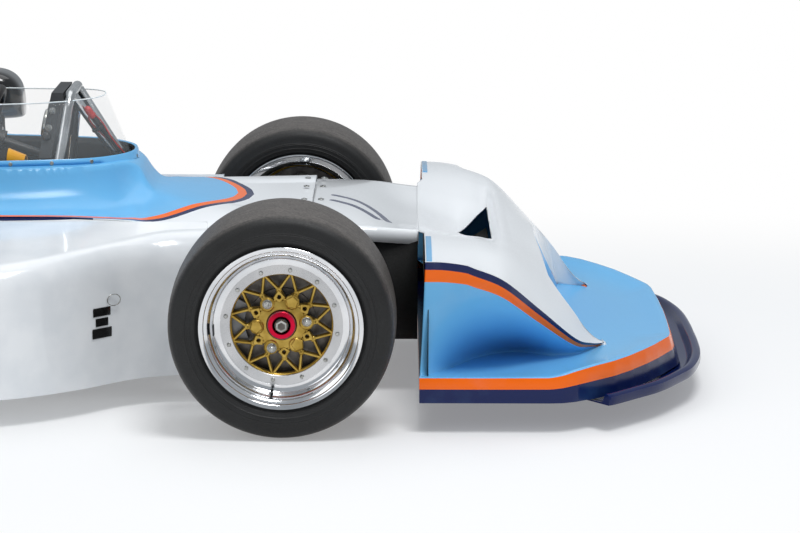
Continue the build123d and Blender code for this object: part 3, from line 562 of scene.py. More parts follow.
@dataclass
class Sculpt:
    """Points and faces gathered from surfaces before they become one object."""

    points: list[Array] = field(default_factory=list)
    faces: list[list[int]] = field(default_factory=list)
    values: list[Array] = field(default_factory=list)
    total: int = 0

    def grid(self, spots: Array, wrap_rows: bool = False, wrap_columns: bool = False,
             value: Array | float = 0.0, flip: bool = False) -> "Sculpt":
        """Add a surface given as a grid of points, one quad between four neighbours.

        Args:
            spots: array of shape (rows, columns, 3).
            wrap_rows: True to join the last row to the first.
            wrap_columns: True to join the last column to the first.
            value: number kept at each point as the attribute "across".
            flip: True to turn the faces over.

        Returns:
            The sculpt itself.
        """
        rows, columns = spots.shape[:2]
        index = np.arange(rows * columns).reshape(rows, columns) + self.total
        if wrap_rows:
            index = np.concatenate((index, index[:1]))
        if wrap_columns:
            index = np.concatenate((index, index[:, :1]), axis=1)
        quads = np.stack((index[:-1, :-1], index[1:, :-1], index[1:, 1:], index[:-1, 1:]),
            axis=-1).reshape(-1, 4)
        if flip:
            quads = quads[:, ::-1]
        self.points.append(spots.reshape(-1, 3))
        self.values.append(np.broadcast_to(value, spots.shape[:2]).reshape(-1))
        self.faces.extend(quads.tolist())
        self.total += rows * columns
        return self

    def fan(self, ring: Array, value: float = 0.0, flip: bool = False) -> "Sculpt":
        """Add one flat face through a closed ring of points.

        Args:
            ring: corners of the face in order.
            value: attribute of the face.
            flip: True to turn it over.

        Returns:
            The sculpt itself.
        """
        order = list(range(self.total, self.total + len(ring)))
        self.faces.append(order[::-1] if flip else order)
        self.points.append(ring)
        self.values.append(np.full(len(ring), value))
        self.total += len(ring)
        return self

    def lathe(self, profile: object, centre: object, axis: object = (0, 1, 0), steps: int = 64,
            closed: bool = True, value: Array | float = 0.0, turn: float = 0.0) -> "Sculpt":
        """Carry a profile of (radius, distance along the axis) round an axis.

        A point is centre + axis * along + radius * (first cos a + second sin a),
        for a from 0 to a full turn.

        Args:
            profile: rows of radius and distance along the axis.
            centre: point on the axis.
            axis: direction of the axis.
            steps: number of steps round it.
            closed: True where the profile is a loop.
            value: attribute, one number or one for each profile row.
            turn: angle in radians of the first step.

        Returns:
            The sculpt itself.
        """
        outline = np.asarray(profile, float)
        along = unit(np.asarray(axis, float))
        first, second = across(along)
        angle = np.linspace(0, 2 * np.pi, steps, endpoint=False)[:, None] + turn
        round_way = first * np.cos(angle) + second * np.sin(angle)
        spots = (np.asarray(centre, float) + outline[:, 1][None, :, None] * along
                 + outline[:, 0][None, :, None] * round_way[:, None, :])
        held = np.broadcast_to(value, (len(outline),))[None, :]
        return self.grid(spots, wrap_rows=True, wrap_columns=closed, value=held)

    def disc(self, centre: object, axis: object, radius: float, thickness: float,
             edge: float = 0.0, steps: int = 32, turn: float = 0.0) -> "Sculpt":
        """Add a solid round plate with a chamfered edge, its middle at the centre.

        Args:
            centre: middle of the plate.
            axis: direction of its axis.
            radius: its outer radius.
            thickness: length along the axis.
            edge: width of the chamfer.
            steps: number of steps round it.
            turn: angle in radians of the first step.

        Returns:
            The sculpt itself.
        """
        half = thickness / 2
        return self.lathe(((0, -half), (radius - edge, -half), (radius, edge - half),
            (radius, half - edge), (radius - edge, half), (0, half)), centre, axis, steps,
            closed=False, turn=turn)

    def tube(self, path: object, radius: Array | float, sides: int = 14,
             capped: bool = True, value: float = 0.0, loop: bool = False) -> "Sculpt":
        """Carry a circle along a path of points.

        At each point the circle stands square to the mean of the two runs beside
        it: point + radius * (first cos a + second sin a).

        Args:
            path: rows of points.
            radius: one radius, or one for each point.
            sides: number of sides of the circle.
            capped: True to close the two ends.
            value: attribute of the piece.
            loop: True where the path closes on itself.

        Returns:
            The sculpt itself.
        """
        line = np.asarray(path, float)
        if loop:
            way = unit(np.roll(line, -1, axis=0) - np.roll(line, 1, axis=0))
        else:
            way = unit(np.gradient(line, axis=0))
        helper = np.eye(3)[int(np.argmin(np.abs(way).max(0)))]
        first = unit(np.cross(way, helper))
        second = np.cross(way, first)
        angle = np.linspace(0, 2 * np.pi, sides, endpoint=False)[None, :, None]
        size = np.broadcast_to(radius, (len(line),))[:, None, None]
        spots = (line[:, None, :] + size * (first[:, None, :] * np.cos(angle) + second[:, None, :]
            * np.sin(angle)))
        self.grid(spots, wrap_rows=loop, wrap_columns=True, value=value)
        if capped and not loop:
            self.fan(spots[0], value)
            self.fan(spots[-1], value, flip=True)
        return self

    def bolt(self, centre: object, axis: object, across_flats: float, height: float) -> "Sculpt":
        """Add a hexagon head on its washer, standing on the centre point.

        Args:
            centre: point that the washer stands on.
            axis: direction of the head.
            across_flats: width of the hexagon.
            height: height of washer and head.

        Returns:
            The sculpt itself.
        """
        along = unit(np.asarray(axis, float))
        base = np.asarray(centre, float)
        self.disc(base + along * height * 0.12, axis, across_flats * 0.68, height * 0.24,
            height * 0.06, 20)
        return self.disc(base + along * height * 0.6, axis, across_flats * 0.577, height * 0.8,
            height * 0.12, 6)

    def slab(self, outline: Array, back: Array, value: float = 0.0) -> "Sculpt":
        """Close a plate between an outline and the same outline moved by a vector.

        Args:
            outline: corners of one face.
            back: vector to the other face.
            value: attribute of the plate.

        Returns:
            The sculpt itself.
        """
        ring = np.asarray(outline, float)
        other = ring + back
        self.grid(np.stack((ring, other)), wrap_columns=True, value=value)
        self.fan(ring, value)
        return self.fan(other, value, flip=True)

    def make(self, name: str, finish: Finish, body: str = "chassis", smooth: float = 40.0,
             mirrored: bool = False, weld: float = 1e-5, closed: bool = True,
             thick: float = 0.0, bevel: float = 0.0, replaces: tuple[str, ...] = (),
             hole: tuple = ()) -> bpy.types.Object:
        """Turn what was gathered into a finished object in the row frame.

        Args:
            name: name of the piece.
            finish: its material.
            body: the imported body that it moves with.
            smooth: angle in degrees above which an edge stays sharp.
            mirrored: True to add the same shape on the car's other side.
            weld: distance in metres under which points are merged.
            closed: True to turn every face of a closed shape outwards.
            thick: wall thickness in metres given to an open sheet.
            bevel: width in metres of a small round on sharp edges.
            replaces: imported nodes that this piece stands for.
            hole: corners in plan of a convex hole cut with clean edges.

        Returns:
            The object.
        """
        spots = np.concatenate(self.points)
        values = np.concatenate(self.values)
        mesh = bpy.data.meshes.new(name)
        mesh.from_pydata(spots.tolist(), [], self.faces)
        held = mesh.attributes.new("across", "FLOAT", "POINT")
        held.data.foreach_set("value", values.astype(np.float32))
        work = bmesh.new()
        work.from_mesh(mesh)
        if mirrored:
            copy = bmesh.ops.duplicate(work, geom=work.verts[:] + work.edges[:] + work.faces[:])
            moved = [g for g in copy["geom"] if isinstance(g, bmesh.types.BMVert)]
            bmesh.ops.scale(work, vec=(1, -1, 1), verts=moved)
            turned = [g for g in copy["geom"] if isinstance(g, bmesh.types.BMFace)]
            bmesh.ops.reverse_faces(work, faces=turned)
        for index, corner in enumerate(hole):
            bmesh.ops.bisect_plane(work, geom=work.verts[:] + work.edges[:] + work.faces[:],
                dist=1e-6, plane_co=(*corner, 0.0), plane_no=(hole[index - 1][1] - corner[1],
                corner[0] - hole[index - 1][0], 0.0))
        if hole:
            centres = np.array([f.calc_center_median()[:2] for f in work.faces])
            within = signed_distance(centres, np.array(hole)) < 0
            high = np.array([f.calc_center_median()[2] for f in work.faces]) > 0.25
            lost = [f for f, gone in zip(work.faces[:], within & high) if gone]
            bmesh.ops.delete(work, geom=lost, context="FACES")
        if weld:
            bmesh.ops.remove_doubles(work, verts=work.verts, dist=weld)
            bmesh.ops.dissolve_degenerate(work, edges=work.edges, dist=weld / 2)
        if closed:
            bmesh.ops.recalc_face_normals(work, faces=work.faces)
        work.to_mesh(mesh)
        work.free()
        piece = link_object(name, mesh)
        mesh.materials.append(finish.material())
        mesh.polygons.foreach_set("use_smooth", np.ones(len(mesh.polygons), bool))
        mesh.set_sharp_from_angle(angle=math.radians(smooth))
        if thick:
            wall = piece.modifiers.new("wall", "SOLIDIFY")
            wall.thickness = thick
            wall.offset = -1.0
            wall.use_even_offset = True
        if bevel:
            rounding = piece.modifiers.new("rounding", "BEVEL")
            rounding.width = bevel
            rounding.segments = 2
            rounding.limit_method = "ANGLE"
            rounding.angle_limit = math.radians(35)
        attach(piece, body)
        if replaces:
            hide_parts(*replaces)
        log.info("%s rides on %s", name, body)
        return piece


def dress(node: str, finish: Finish) -> None:
    """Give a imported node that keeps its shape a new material.

    Args:
        node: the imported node's name.
        finish: its new material.
    """
    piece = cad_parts[node]
    piece.data.materials.clear()
    piece.data.materials.append(finish.material())
    log.info("%s keeps its shape in %s", node, finish.name)


@dataclass
class Nose:
    """Full width nose: hump with its saddle, coves, blade, deck and splitter.

    Tables are in metres ahead of the front axle, for the car's left half.
    """

    crest: tuple = ((0.314, 0.749, 0.387), (0.355, 0.749, 0.386), (0.4, 0.749, 0.38),
        (0.421, 0.744, 0.372), (0.49, 0.715, 0.338), (0.573, 0.62, 0.256), (0.657, 0.52, 0.171),
        (0.7, 0.44, 0.143), (0.735, 0.362, 0.128))
    foot: tuple = ((0.302, 0.712), (0.33, 0.69), (0.355, 0.646), (0.421, 0.5), (0.518, 0.413),
        (0.573, 0.44), (0.6, 0.462), (0.657, 0.46), (0.7, 0.405), (0.735, 0.35))
    front_edge: tuple = ((0.581, 0.0), (0.586, 0.113), (0.592, 0.2), (0.596, 0.275), (0.6, 0.33),
        (0.613, 0.362), (0.63, 0.384), (0.65, 0.39), (0.675, 0.385), (0.705, 0.372),
        (0.735, 0.362))
    heights: tuple = ((0.302, 0.366, 0.368, 0.384, 0.397, 0.397, 0.387),
        (0.36, 0.34, 0.344, 0.374, 0.394, 0.396, 0.385),
        (0.399, 0.325, 0.329, 0.366, 0.39, 0.393, 0.38),
        (0.44, 0.337, 0.339, 0.361, 0.384, 0.386, 0.363),
        (0.474, 0.348, 0.348, 0.355, 0.374, 0.376, 0.347),
        (0.492, 0.369, 0.37, 0.372, 0.374, 0.368, 0.337),
        (0.52, 0.36, 0.36, 0.359, 0.357, 0.347, 0.311),
        (0.573, 0.331, 0.329, 0.321, 0.311, 0.294, 0.256),
        (0.6, 0.316, 0.312, 0.299, 0.284, 0.264, 0.229),
        (0.657, 0.28, 0.273, 0.252, 0.23, 0.204, 0.171),
        (0.7, 0.24, 0.23, 0.205, 0.178, 0.155, 0.143),
        (0.735, 0.2, 0.19, 0.17, 0.145, 0.13, 0.128))
    blade_edge: tuple = ((0.302, 0.75, 0.128), (0.45, 0.75, 0.128), (0.592, 0.75, 0.129),
        (0.62, 0.747, 0.134), (0.65, 0.732, 0.141), (0.7, 0.688, 0.146), (0.74, 0.643, 0.146),
        (0.78, 0.58, 0.145), (0.82, 0.505, 0.144), (0.85, 0.438, 0.142), (0.88, 0.362, 0.14),
        (0.891, 0.332, 0.139), (0.898, 0.29, 0.138), (0.903, 0.15, 0.137), (0.905, 0.0, 0.137))
    vent: tuple = ((0.399, 0.0), (0.474, 0.24), (0.474, -0.24))
    rear: float = 0.302
    half: float = 0.749
    skin_band: float = -0.05

    def height(self, ahead: Array, side: Array) -> Array:
        """Height of the hump's skin: a smooth table of six heights across each row.

        Args:
            ahead: distances ahead of the axle.
            side: distances from the centre line.

        Returns:
            Heights above the ground.
        """
        half = table_at([(c[0], c[1]) for c in self.crest], ahead)[:, 0]
        row = table_at(self.heights, ahead)
        place = np.clip(np.abs(side) / half, 0, 1) * 5
        low = np.minimum(place.astype(int), 4)
        t = place - low
        pick = np.arange(len(ahead))
        mirrored = np.concatenate((row[:, 1:2], row, 2 * row[:, -1:] - row[:, -2:-1]), axis=1)
        return spline(*(mirrored[pick, low + k] for k in range(4)), t)

    def skin(self) -> None:
        """White hump skin, its coves with the stripes, and the wall behind the notch.

        The top's plan is a Coons patch between the rear edge, the centre line, the
        outer crest and the front edge, and its height comes from the table. A cove
        is a row of cubic curves from the crest to the foot on the blade.
        """
        rows, columns = 84, 72
        u = np.linspace(0, 1, rows)
        v = np.linspace(0, 1, columns)
        crest = smooth_rows(self.crest, rows)
        front = smooth_rows(self.front_edge, columns)
        step = np.clip((self.half * v - 0.36) / 0.04, 0, 1)
        rear = np.stack((self.rear + 0.012 * step, self.half * v), axis=1)
        tip = self.front_edge[0][0]
        middle = np.stack((self.rear + (tip - self.rear) * u, np.zeros(rows)), axis=1)
        uu, vv = u[:, None, None], v[None, :, None]
        plan = ((1 - uu) * rear[None] + uu * front[None] + (1 - vv) * middle[:, None] + vv
            * crest[:, None, :2] - (1 - uu) * (1 - vv) * rear[0] - (1 - uu) * vv * rear[-1] - uu
            * (1 - vv) * front[0] - uu * vv * front[-1])
        flat = plan.reshape(-1, 2)
        z = self.height(flat[:, 0], flat[:, 1]).reshape(rows, columns)
        z[:, -1] = crest[:, 2]
        top = np.dstack((FRONT_X + plan[..., 0], plan[..., 1], z))
        held = np.full((rows, columns), self.skin_band)
        held[:, -1] = 1e-4
        shape = Sculpt().grid(top, value=held)
        foot = table_at(self.foot, crest[:, 0])[:, 0]
        low = BLADE_Z - 0.004
        drop = crest[:, 2] - low
        t = np.linspace(0, 1, 44)[None, :]
        y = ((1 - t) ** 3 * crest[:, 1:2] + 3 * (1 - t) ** 2 * t * (crest[:, 1:2] - 0.003)
             + 3 * (1 - t) * t ** 2 * (foot[:, None] - 0.02) + t ** 3 * (foot[:, None] + 0.05))
        high = ((1 - t) ** 3 * crest[:, 2:3] + 3 * (1 - t) ** 2 * t * (crest[:, 2:3] - 0.5
            * drop[:, None]) + 3 * (1 - t) * t ** 2 * (low + 0.02 * drop[:, None]) + t ** 3 * low)
        slant = 0.012 * np.clip((0.4 - crest[:, :1]) / 0.086, 0, 1) * t
        cove = np.dstack((FRONT_X + crest[:, :1] - slant, np.minimum(y, 0.7495), high))
        run = np.linalg.norm(np.diff(cove, axis=1), axis=2)
        along = np.concatenate((np.zeros((rows, 1)), np.cumsum(run, axis=1)), axis=1)
        squeeze = 1 + np.clip((crest[:, :1] - 0.5) / 0.2, 0, 1) ** 2 * 1.3
        shape.grid(cove, value=along * squeeze + 1e-4)
        self.notch(shape, top[-1])
        shape.make("nose_skin", NOSE_BANDS, smooth=38, mirrored=True, closed=False, thick=0.003,
            replaces=("nose",), hole=tuple((FRONT_X + x, y) for x, y in self.vent))

    def notch(self, shape: Sculpt, edge: Array) -> None:
        """Add the white facets under the front edge and the light blue wall inside.

        Both are ruled surfaces. The facets run from the front edge to a straight
        fold from its middle down to the blade, and the wall from the fold inwards.

        Args:
            shape: the skin's sculpt.
            edge: points of the front edge, from the centre line to the tip.
        """
        split = int(np.argmin(np.abs(edge[:, 0] - FRONT_X - 0.64)))
        corner = np.array((FRONT_X + 0.662, 0.396, 0.121))
        fold = np.linspace(edge[0], corner, split + 1)
        foot = np.linspace(corner, (FRONT_X + 0.738, 0.372, 0.121), len(edge) - split)
        share = np.linspace(0, 1, 12)[:, None, None]
        tips = edge[None, split:] * (1 - share) + foot[None] * share
        shape.grid(tips, value=self.skin_band)
        base = smooth_rows(((0.572, 0.0), (0.612, 0.17), (0.65, 0.32), (0.662, 0.396)), split + 1)
        base = ahead_of_axle(base, 0.121)
        facet = edge[None, :split + 1] * (1 - share) + fold[None] * share
        wall = fold[None] * (1 - share) + base[None] * share
        wall[0] = fold * 0.9998 + base * 0.0002
        held = np.repeat((self.skin_band, 0.1), 12)[:, None]
        shape.grid(np.concatenate((facet, wall)), value=held)

    def blade(self) -> None:
        """Blade with a slightly raised, rounded and banded edge, one closed plate.

        The outline is carried down a profile: a quarter round at the top, then a
        face that is upright at the sides and leans forward at the front. The top
        sinks from the edge to its flat middle.
        """
        line = np.array(self.blade_edge)
        dense = np.concatenate([np.linspace(line[k], line[k + 1], 10, endpoint=False)
            for k in range(len(line) - 1)] + [line[-1:]])
        dense = evenly(dense, 130)
        out = left_of(dense)
        lean = np.clip((dense[:, 0] - 0.66) / 0.24, 0, 1)[:, None]
        profile = ((-0.01, 0.0, -0.01), (-0.004, 0.0002, -0.004), (-0.001, 0.0014, 0.0),
            (0.0, 0.004, 0.004), (0.0, 0.0235, 0.025), (0.0, 0.056, 0.055))
        spots, bands = [], []
        for shift, down, band in profile:
            moved = dense[:, :2] + out * (shift + lean * (down * 0.42 - 0.006))
            z = dense[:, 2] - down * (dense[:, 2] - FLOOR_Z) / 0.056
            spots.append(ahead_of_axle(moved, z))
            bands.append(np.full(len(moved), band))
        face, held = np.stack(spots), np.stack(bands)
        shape = Sculpt().grid(face, value=held)
        centre = np.array((FRONT_X + 0.5, 0.0, 0.125))
        rows = [face[0] + (centre - face[0]) * (share, share, fall)
            for share, fall in ((0.0, 0.0), (0.03, 0.3), (0.08, 0.7), (0.16, 0.95), (0.24, 1.0))]
        rows.append(rows[-1] * (1, 0, 1))
        worth = np.linspace(-0.01, -0.3, len(rows))[:, None]
        shape.grid(np.stack(rows[::-1]), value=worth[::-1])
        shape.grid(np.stack((face[-1], face[-1] * (1, 0, 1))), value=0.055)
        shape.grid(np.stack((face[:, 0], face[:, 0] * (1, 0, 1))), value=held[None, :, 0])
        shape.make("nose_blade", BLADE_BANDS, smooth=30, mirrored=True)

    def splitter(self) -> None:
        """Navy lip under the blade with a turned up rolled edge.

        A profile is carried round the outline: flat under the blade, then curving
        up to the rolled edge.
        """
        plan = ((0.722, 0.742), (0.74, 0.728), (0.788, 0.672), (0.85, 0.595), (0.903, 0.496),
            (0.935, 0.425), (0.955, 0.345), (0.966, 0.275), (0.972, 0.2), (0.975, 0.09),
            (0.975, 0.0))
        dense = smooth_rows(plan, 70)
        out = left_of(dense)
        wide = np.clip((dense[:, 0] - 0.66) / 0.08, 0.35, 1)[:, None]
        profile = ((-0.105, 0.066), (-0.036, 0.066), (-0.028, 0.071), (-0.022, 0.084),
            (-0.016, 0.088), (-0.008, 0.088), (-0.001, 0.083), (0.0, 0.07), (-0.003, 0.063),
            (-0.105, 0.062))
        face = np.stack([ahead_of_axle(dense + out * shift * wide, z) for shift, z in profile])
        shape = Sculpt().grid(face, wrap_rows=True)
        shape.fan(face[:, 0])
        shape.make("nose_splitter_lip", NAVY_PAINT, smooth=45, mirrored=True,
            replaces=("nose_splitter",))

    def deck(self) -> None:
        """White deck between the split line and the hump, with two navy strokes.

        Rows across the car run from a rolled side edge up to a flat crown and
        join the saddle's heights at the hump.
        """
        end = self.rear
        ahead = np.linspace(0.052, end, 44)
        half = np.interp(ahead, (0.05, 0.2, end), (0.36, 0.352, 0.33))
        crown = table_at(((0.05, 0.422), (0.15, 0.414), (0.22, 0.4), (end, 0.37)), ahead)
        edge = table_at(((0.05, 0.4), (0.2, 0.398), (end, 0.392)), ahead)
        share = np.linspace(0, 1, 30)[None, :]
        y = half[:, None] * share
        last = self.height(np.full(30, end), np.linspace(0, 1, 30) * half[-1])
        blend = np.clip((ahead - 0.14) / 0.162, 0, 1)[:, None] ** 2
        z = (crown + (edge - crown) * share ** 3) * (1 - blend) + last[None] * blend
        roll = np.array(((0.004, -0.003), (0.008, -0.01), (0.009, -0.02), (0.002, -0.034)))
        y = np.concatenate((y, half[:, None] + roll[:, 0]), axis=1)
        z = np.concatenate((z, z[:, -1:] + roll[:, 1]), axis=1)
        spots = np.dstack((np.broadcast_to(FRONT_X + ahead[:, None], y.shape), y, z))
        shape = Sculpt()
        for side in SIDES:
            turned = spots * (1, side, 1)
            shape.grid(turned, value=self.strokes(turned), flip=side < 0)
        shape.make("nose_deck", NOSE_DECK_BANDS, smooth=50, closed=False, thick=0.003)

    @staticmethod
    def strokes(spots: Array) -> Array:
        """Distance to the nearer of two curved strokes, less half its width.

        Args:
            spots: grid of points.

        Returns:
            One distance for each point, as a grid.
        """
        flat = spots.reshape(-1, 3)
        near = np.full(len(flat), 1.0)
        for points in (((0.1, -0.02), (0.16, -0.075), (0.205, -0.15), (0.232, -0.235)),
                ((0.098, -0.095), (0.145, -0.14), (0.18, -0.19), (0.206, -0.24))):
            line = smooth_rows(points, 40)
            gap = np.linalg.norm(flat[:, None, :2] - (line[None] + (FRONT_X, 0)), axis=2)
            near = np.minimum(near, gap.min(1))
        return (near - 0.0085).reshape(spots.shape[:2])

    def lips(self) -> None:
        """Light blue strips lying along the rear edge of the two humps."""
        y = np.linspace(0.49, 0.744, 40)
        rows = []
        for ahead, lift in ((0.3165, -0.002), (0.3165, 0.0022), (0.329, 0.0022), (0.329, -0.002)):
            z = self.height(np.full(40, ahead), y) + lift
            rows.append(np.stack((np.full(40, FRONT_X + ahead), y, z), axis=1))
        face = np.stack(rows)
        shape = Sculpt().grid(face, wrap_rows=True).fan(face[:, 0]).fan(face[:, -1])
        shape.make("nose_rear_strips", BLUE_PAINT, mirrored=True, smooth=30)

    def dark_sheets(self) -> None:
        """Painted shade: a near-black slab under the vent, a panel behind each cove and panels
        under the deck's sides.
        """
        shape = Sculpt()
        # Near-black slab under the vent hole: painted shade of the cavity
        corner = np.array([(FRONT_X + x, y, 0.29) for x, y in self.vent])
        shape.slab(corner, np.array((0.0, 0.0, -0.004)))
        y = np.linspace(0.345, 0.735, 12)
        top = self.height(np.full(12, 0.32), y) - 0.006
        panel = np.stack((np.stack((np.full(12, FRONT_X + 0.322), y, top), axis=1),
            np.stack((np.full(12, FRONT_X + 0.322), y, top * 0 + 0.12), axis=1)))
        # Near-black panels under the deck's sides: painted shadow in the gap there
        under = np.array([[(FRONT_X + x, 0.335, z) for x in (0.15, 0.3)] for z in (0.378, 0.13)])
        for side in SIDES:
            shape.grid(panel * (1, side, 1), flip=side < 0)
            shape.grid(under * (1, side, 1), flip=side < 0)
        shape.make("nose_painted_shade_panels", DARK_SHEET_AND_SHADE, closed=False, thick=0.002)

    def build(self) -> None:
        """Make every piece of the nose."""
        self.skin()
        self.blade()
        self.splitter()
        self.deck()
        self.lips()
        self.dark_sheets()


@dataclass
class BodyShell:
    """Upper body round the cockpit and the side bodies behind the front wheels.

    Rows hold millimetres: distance behind the axle, then the section's sizes. The
    other lengths are metres, and those along the car are counted behind the axle.
    """

    half: float = 0.36
    crown_half: float = 0.352
    skirt_z: float = 0.331
    split: float = -0.05
    cowl: float = 0.22
    tail: float = 1.288
    flange: float = 0.0165
    exit_x: tuple[float, float] = (0.945, 1.275)
    catch_x: float = 0.4135
    ring_x: float = 0.388
    upper_rows: tuple = (
        (-50, 385, 270, 420, -8), (150, 385, 238, 421, -6), (290, 392, 150, 437, 2),
        (325, 398, 122, 444, 8), (345, 404, 112, 464, 20), (364, 408, 98, 494, 30),
        (385, 410, 112, 508, 36), (430, 412, 170, 512, 34), (500, 415, 214, 513, 28),
        (680, 415, 264, 513, 19), (950, 415, 284, 525, 15), (1290, 415, 292, 549, 14))
    pod_rows: tuple = ((188, 361, 428, 386, 440), (285, 361, 440, 382, 455),
        (360, 361, 485, 374, 500), (470, 361, 592, 366, 612), (620, 361, 690, 352, 712),
        (850, 361, 730, 345, 748), (1300, 361, 730, 345, 748), (1340, 398, 730, 345, 748),
        (1700, 398, 730, 345, 748), (1930, 446, 640, 330, 655))
    loop: tuple = ((-0.095, 0.0), (-0.107, 0.08), (-0.14, 0.16), (-0.185, 0.222), (-0.24, 0.272),
        (-0.3, 0.312), (-0.37, 0.338), (-0.46, 0.352), (-0.56, 0.3575), (-0.9, 0.3585),
        (-1.4, 0.3585))

    def height(self, behind: Array, side: Array) -> Array:
        """Height of the upper body over the plan.

        On top the section is nearly flat. Outside it the flank is a quadratic
        curve from the top's edge down to the side edge, pulled in by the sag. The
        lower of the two counts, with a soft corner between them.

        Args:
            behind: distances behind the axle in metres.
            side: distances from the centre line in metres.

        Returns:
            Heights above the ground.
        """
        edge, top, high, sag = (table_at(self.upper_rows, behind * 1000) / 1000).T
        y = np.abs(side)
        reach = self.half - top + 4 * sag
        t = np.clip(2 * (self.half - y) / (reach + np.sqrt(np.maximum(
            reach ** 2 - 16 * sag * (self.half - y), 0))), 0, 1.5)
        middle = (edge + high) / 2 - 2 * sag
        flank = (1 - t) ** 2 * edge + 2 * t * (1 - t) * middle + t ** 2 * high
        level = high + 0.004 * np.maximum(1 - (y / top) ** 2, 0)
        return (level + flank - np.sqrt((level - flank) ** 2 + 0.005 ** 2)) / 2

    def paint_place(self, spots: Array) -> Array:
        """Distance to the loop of stripes in plan, negative on the blue inside.

        Args:
            spots: grid of points.

        Returns:
            One distance for each point, as a grid.
        """
        line = smooth_rows(self.loop, 90)
        ring = np.concatenate((line, line[::-1] * (1, -1)))
        flat = spots.reshape(-1, 3)[:, :2] - (FRONT_X, 0)
        away = signed_distance(flat, ring)
        narrow = 1 + np.clip((-0.42 - flat[:, 0]) / 0.3, 0, 1) * 1.6
        return (away * narrow).reshape(spots.shape[:2])

    def rim_line(self, count: int) -> Array:
        """Plan of the cockpit's edge: a round front, then nearly straight sides.

        Args:
            count: number of points.

        Returns:
            Rows of distance behind the axle and from the centre line.
        """
        angle = np.linspace(0, 1.25, 30)
        bow = np.stack((0.372 + 0.205 * (1 - np.cos(angle)), 0.205 * np.sin(angle)), axis=1)
        sides = np.array(((0.56, 0.206), (0.65, 0.224), (0.8, 0.246), (1.0, 0.255),
            (1.262, 0.262)))
        return evenly(np.concatenate((bow, sides)), count)

    def upper(self) -> None:
        """Deck, cowl and coaming as one skin with a rolled edge round the cockpit.

        Behind the front edge the plan runs in straight lines from the cockpit's
        edge to an outer line, closer together near the edge where the cowl is
        steep. The deck ahead is a plain grid.
        """
        rim = self.rim_line(150)
        run = np.linspace(0, 1, 150)
        corner = 0.3
        outer = np.empty_like(rim)
        ahead = run < corner
        outer[ahead] = np.stack((np.full(ahead.sum(), self.cowl), self.crown_half * run[ahead]
            / corner), 1)
        back = np.linspace(0, 1, (~ahead).sum())
        outer[~ahead] = np.stack((self.cowl + (self.tail - self.cowl) * back ** 1.15,
            np.full((~ahead).sum(), self.crown_half)), 1)
        share = np.linspace(0, 1, 60)[None, :, None] ** 1.5
        plan = rim[:, None] * (1 - share) + outer[:, None] * share
        flat = plan.reshape(-1, 2)
        z = self.height(flat[:, 0], flat[:, 1]).reshape(plan.shape[:2])
        horn = np.dstack((FRONT_X - plan[..., 0], plan[..., 1], z))
        d = np.linspace(self.split, self.cowl, 60)
        y = outer[:ahead.sum() + 1, 1]
        dd, yy = np.meshgrid(d, y, indexing="ij")
        deck = np.dstack((FRONT_X - dd, yy, self.height(dd.ravel(),
            yy.ravel()).reshape(dd.shape)))
        shape = Sculpt()
        shape.grid(horn, value=self.paint_place(horn))
        shape.grid(deck, value=self.paint_place(deck))
        long = np.linspace(self.split, self.tail, 120)
        edge = table_at(self.upper_rows, long * 1000)[:, 0] / 1000
        base = self.height(long, np.full(120, self.crown_half))
        rolled = np.stack([np.stack((FRONT_X - long, np.full(120, y), h), axis=1)
            for y, h in ((self.crown_half, base), (0.3565, edge - 0.001), (0.3595, edge - 0.006),
            (0.36, edge - 0.014), (self.half, np.full(120, self.skirt_z)))])
        shape.grid(rolled, value=self.paint_place(rolled))
        lip = self.coaming(rim)
        shape.grid(lip, value=-0.2)
        shape.make("upper_body_skin", DECK_BANDS, smooth=50, mirrored=True, closed=False,
            thick=0.003, weld=1e-4, replaces=("cockpit_surround",))

    def round_rim(self, rim: Array, rows: tuple) -> Array:
        """Carry a profile of (shift inwards, rise above the skin) round the rim.

        Args:
            rim: plan of the cockpit's edge.
            rows: profile rows in metres.

        Returns:
            Points of shape (profile rows, rim points, 3).
        """
        inward = -left_of(rim)
        z = self.height(rim[:, 0], rim[:, 1])
        step = np.interp(rim[:, 0], (0.37, 0.7, 0.95, 1.29), (0.527, 0.527, 0.5405, 0.5645)) - z
        spots = [rim + inward * shift for shift, _ in rows]
        return np.stack([np.stack((FRONT_X - spot[:, 0], np.maximum(spot[:, 1], 0),
            z + rise * np.where(rise > 0, step / self.flange, 1)), axis=1)
            for spot, (_, rise) in zip(spots, rows)])

    def coaming(self, rim: Array) -> Array:
        """Upright flange round the cockpit with a rounded top.

        Args:
            rim: plan of the cockpit's edge.

        Returns:
            A grid of points.
        """
        return self.round_rim(rim, ((0.0, 0.0), (0.0015, 0.002), (0.0025, 0.014),
            (0.004, self.flange), (0.006, 0.016), (0.007, 0.012), (0.007, -0.01)))

    def dark_sheets(self) -> None:
        """Near-black sheet hanging inside the flange, down to the seat's height."""
        wall = self.round_rim(self.rim_line(120), ((0.0085, 0.013), (0.0095, 0.0145),
            (0.011, 0.013), (0.012, -0.06), (0.015, -0.14)))
        Sculpt().grid(wall).make("cockpit_side_dark_sheet", DARK_SHEET_AND_SHADE, smooth=40, mirrored=True,
            closed=False, thick=0.002)

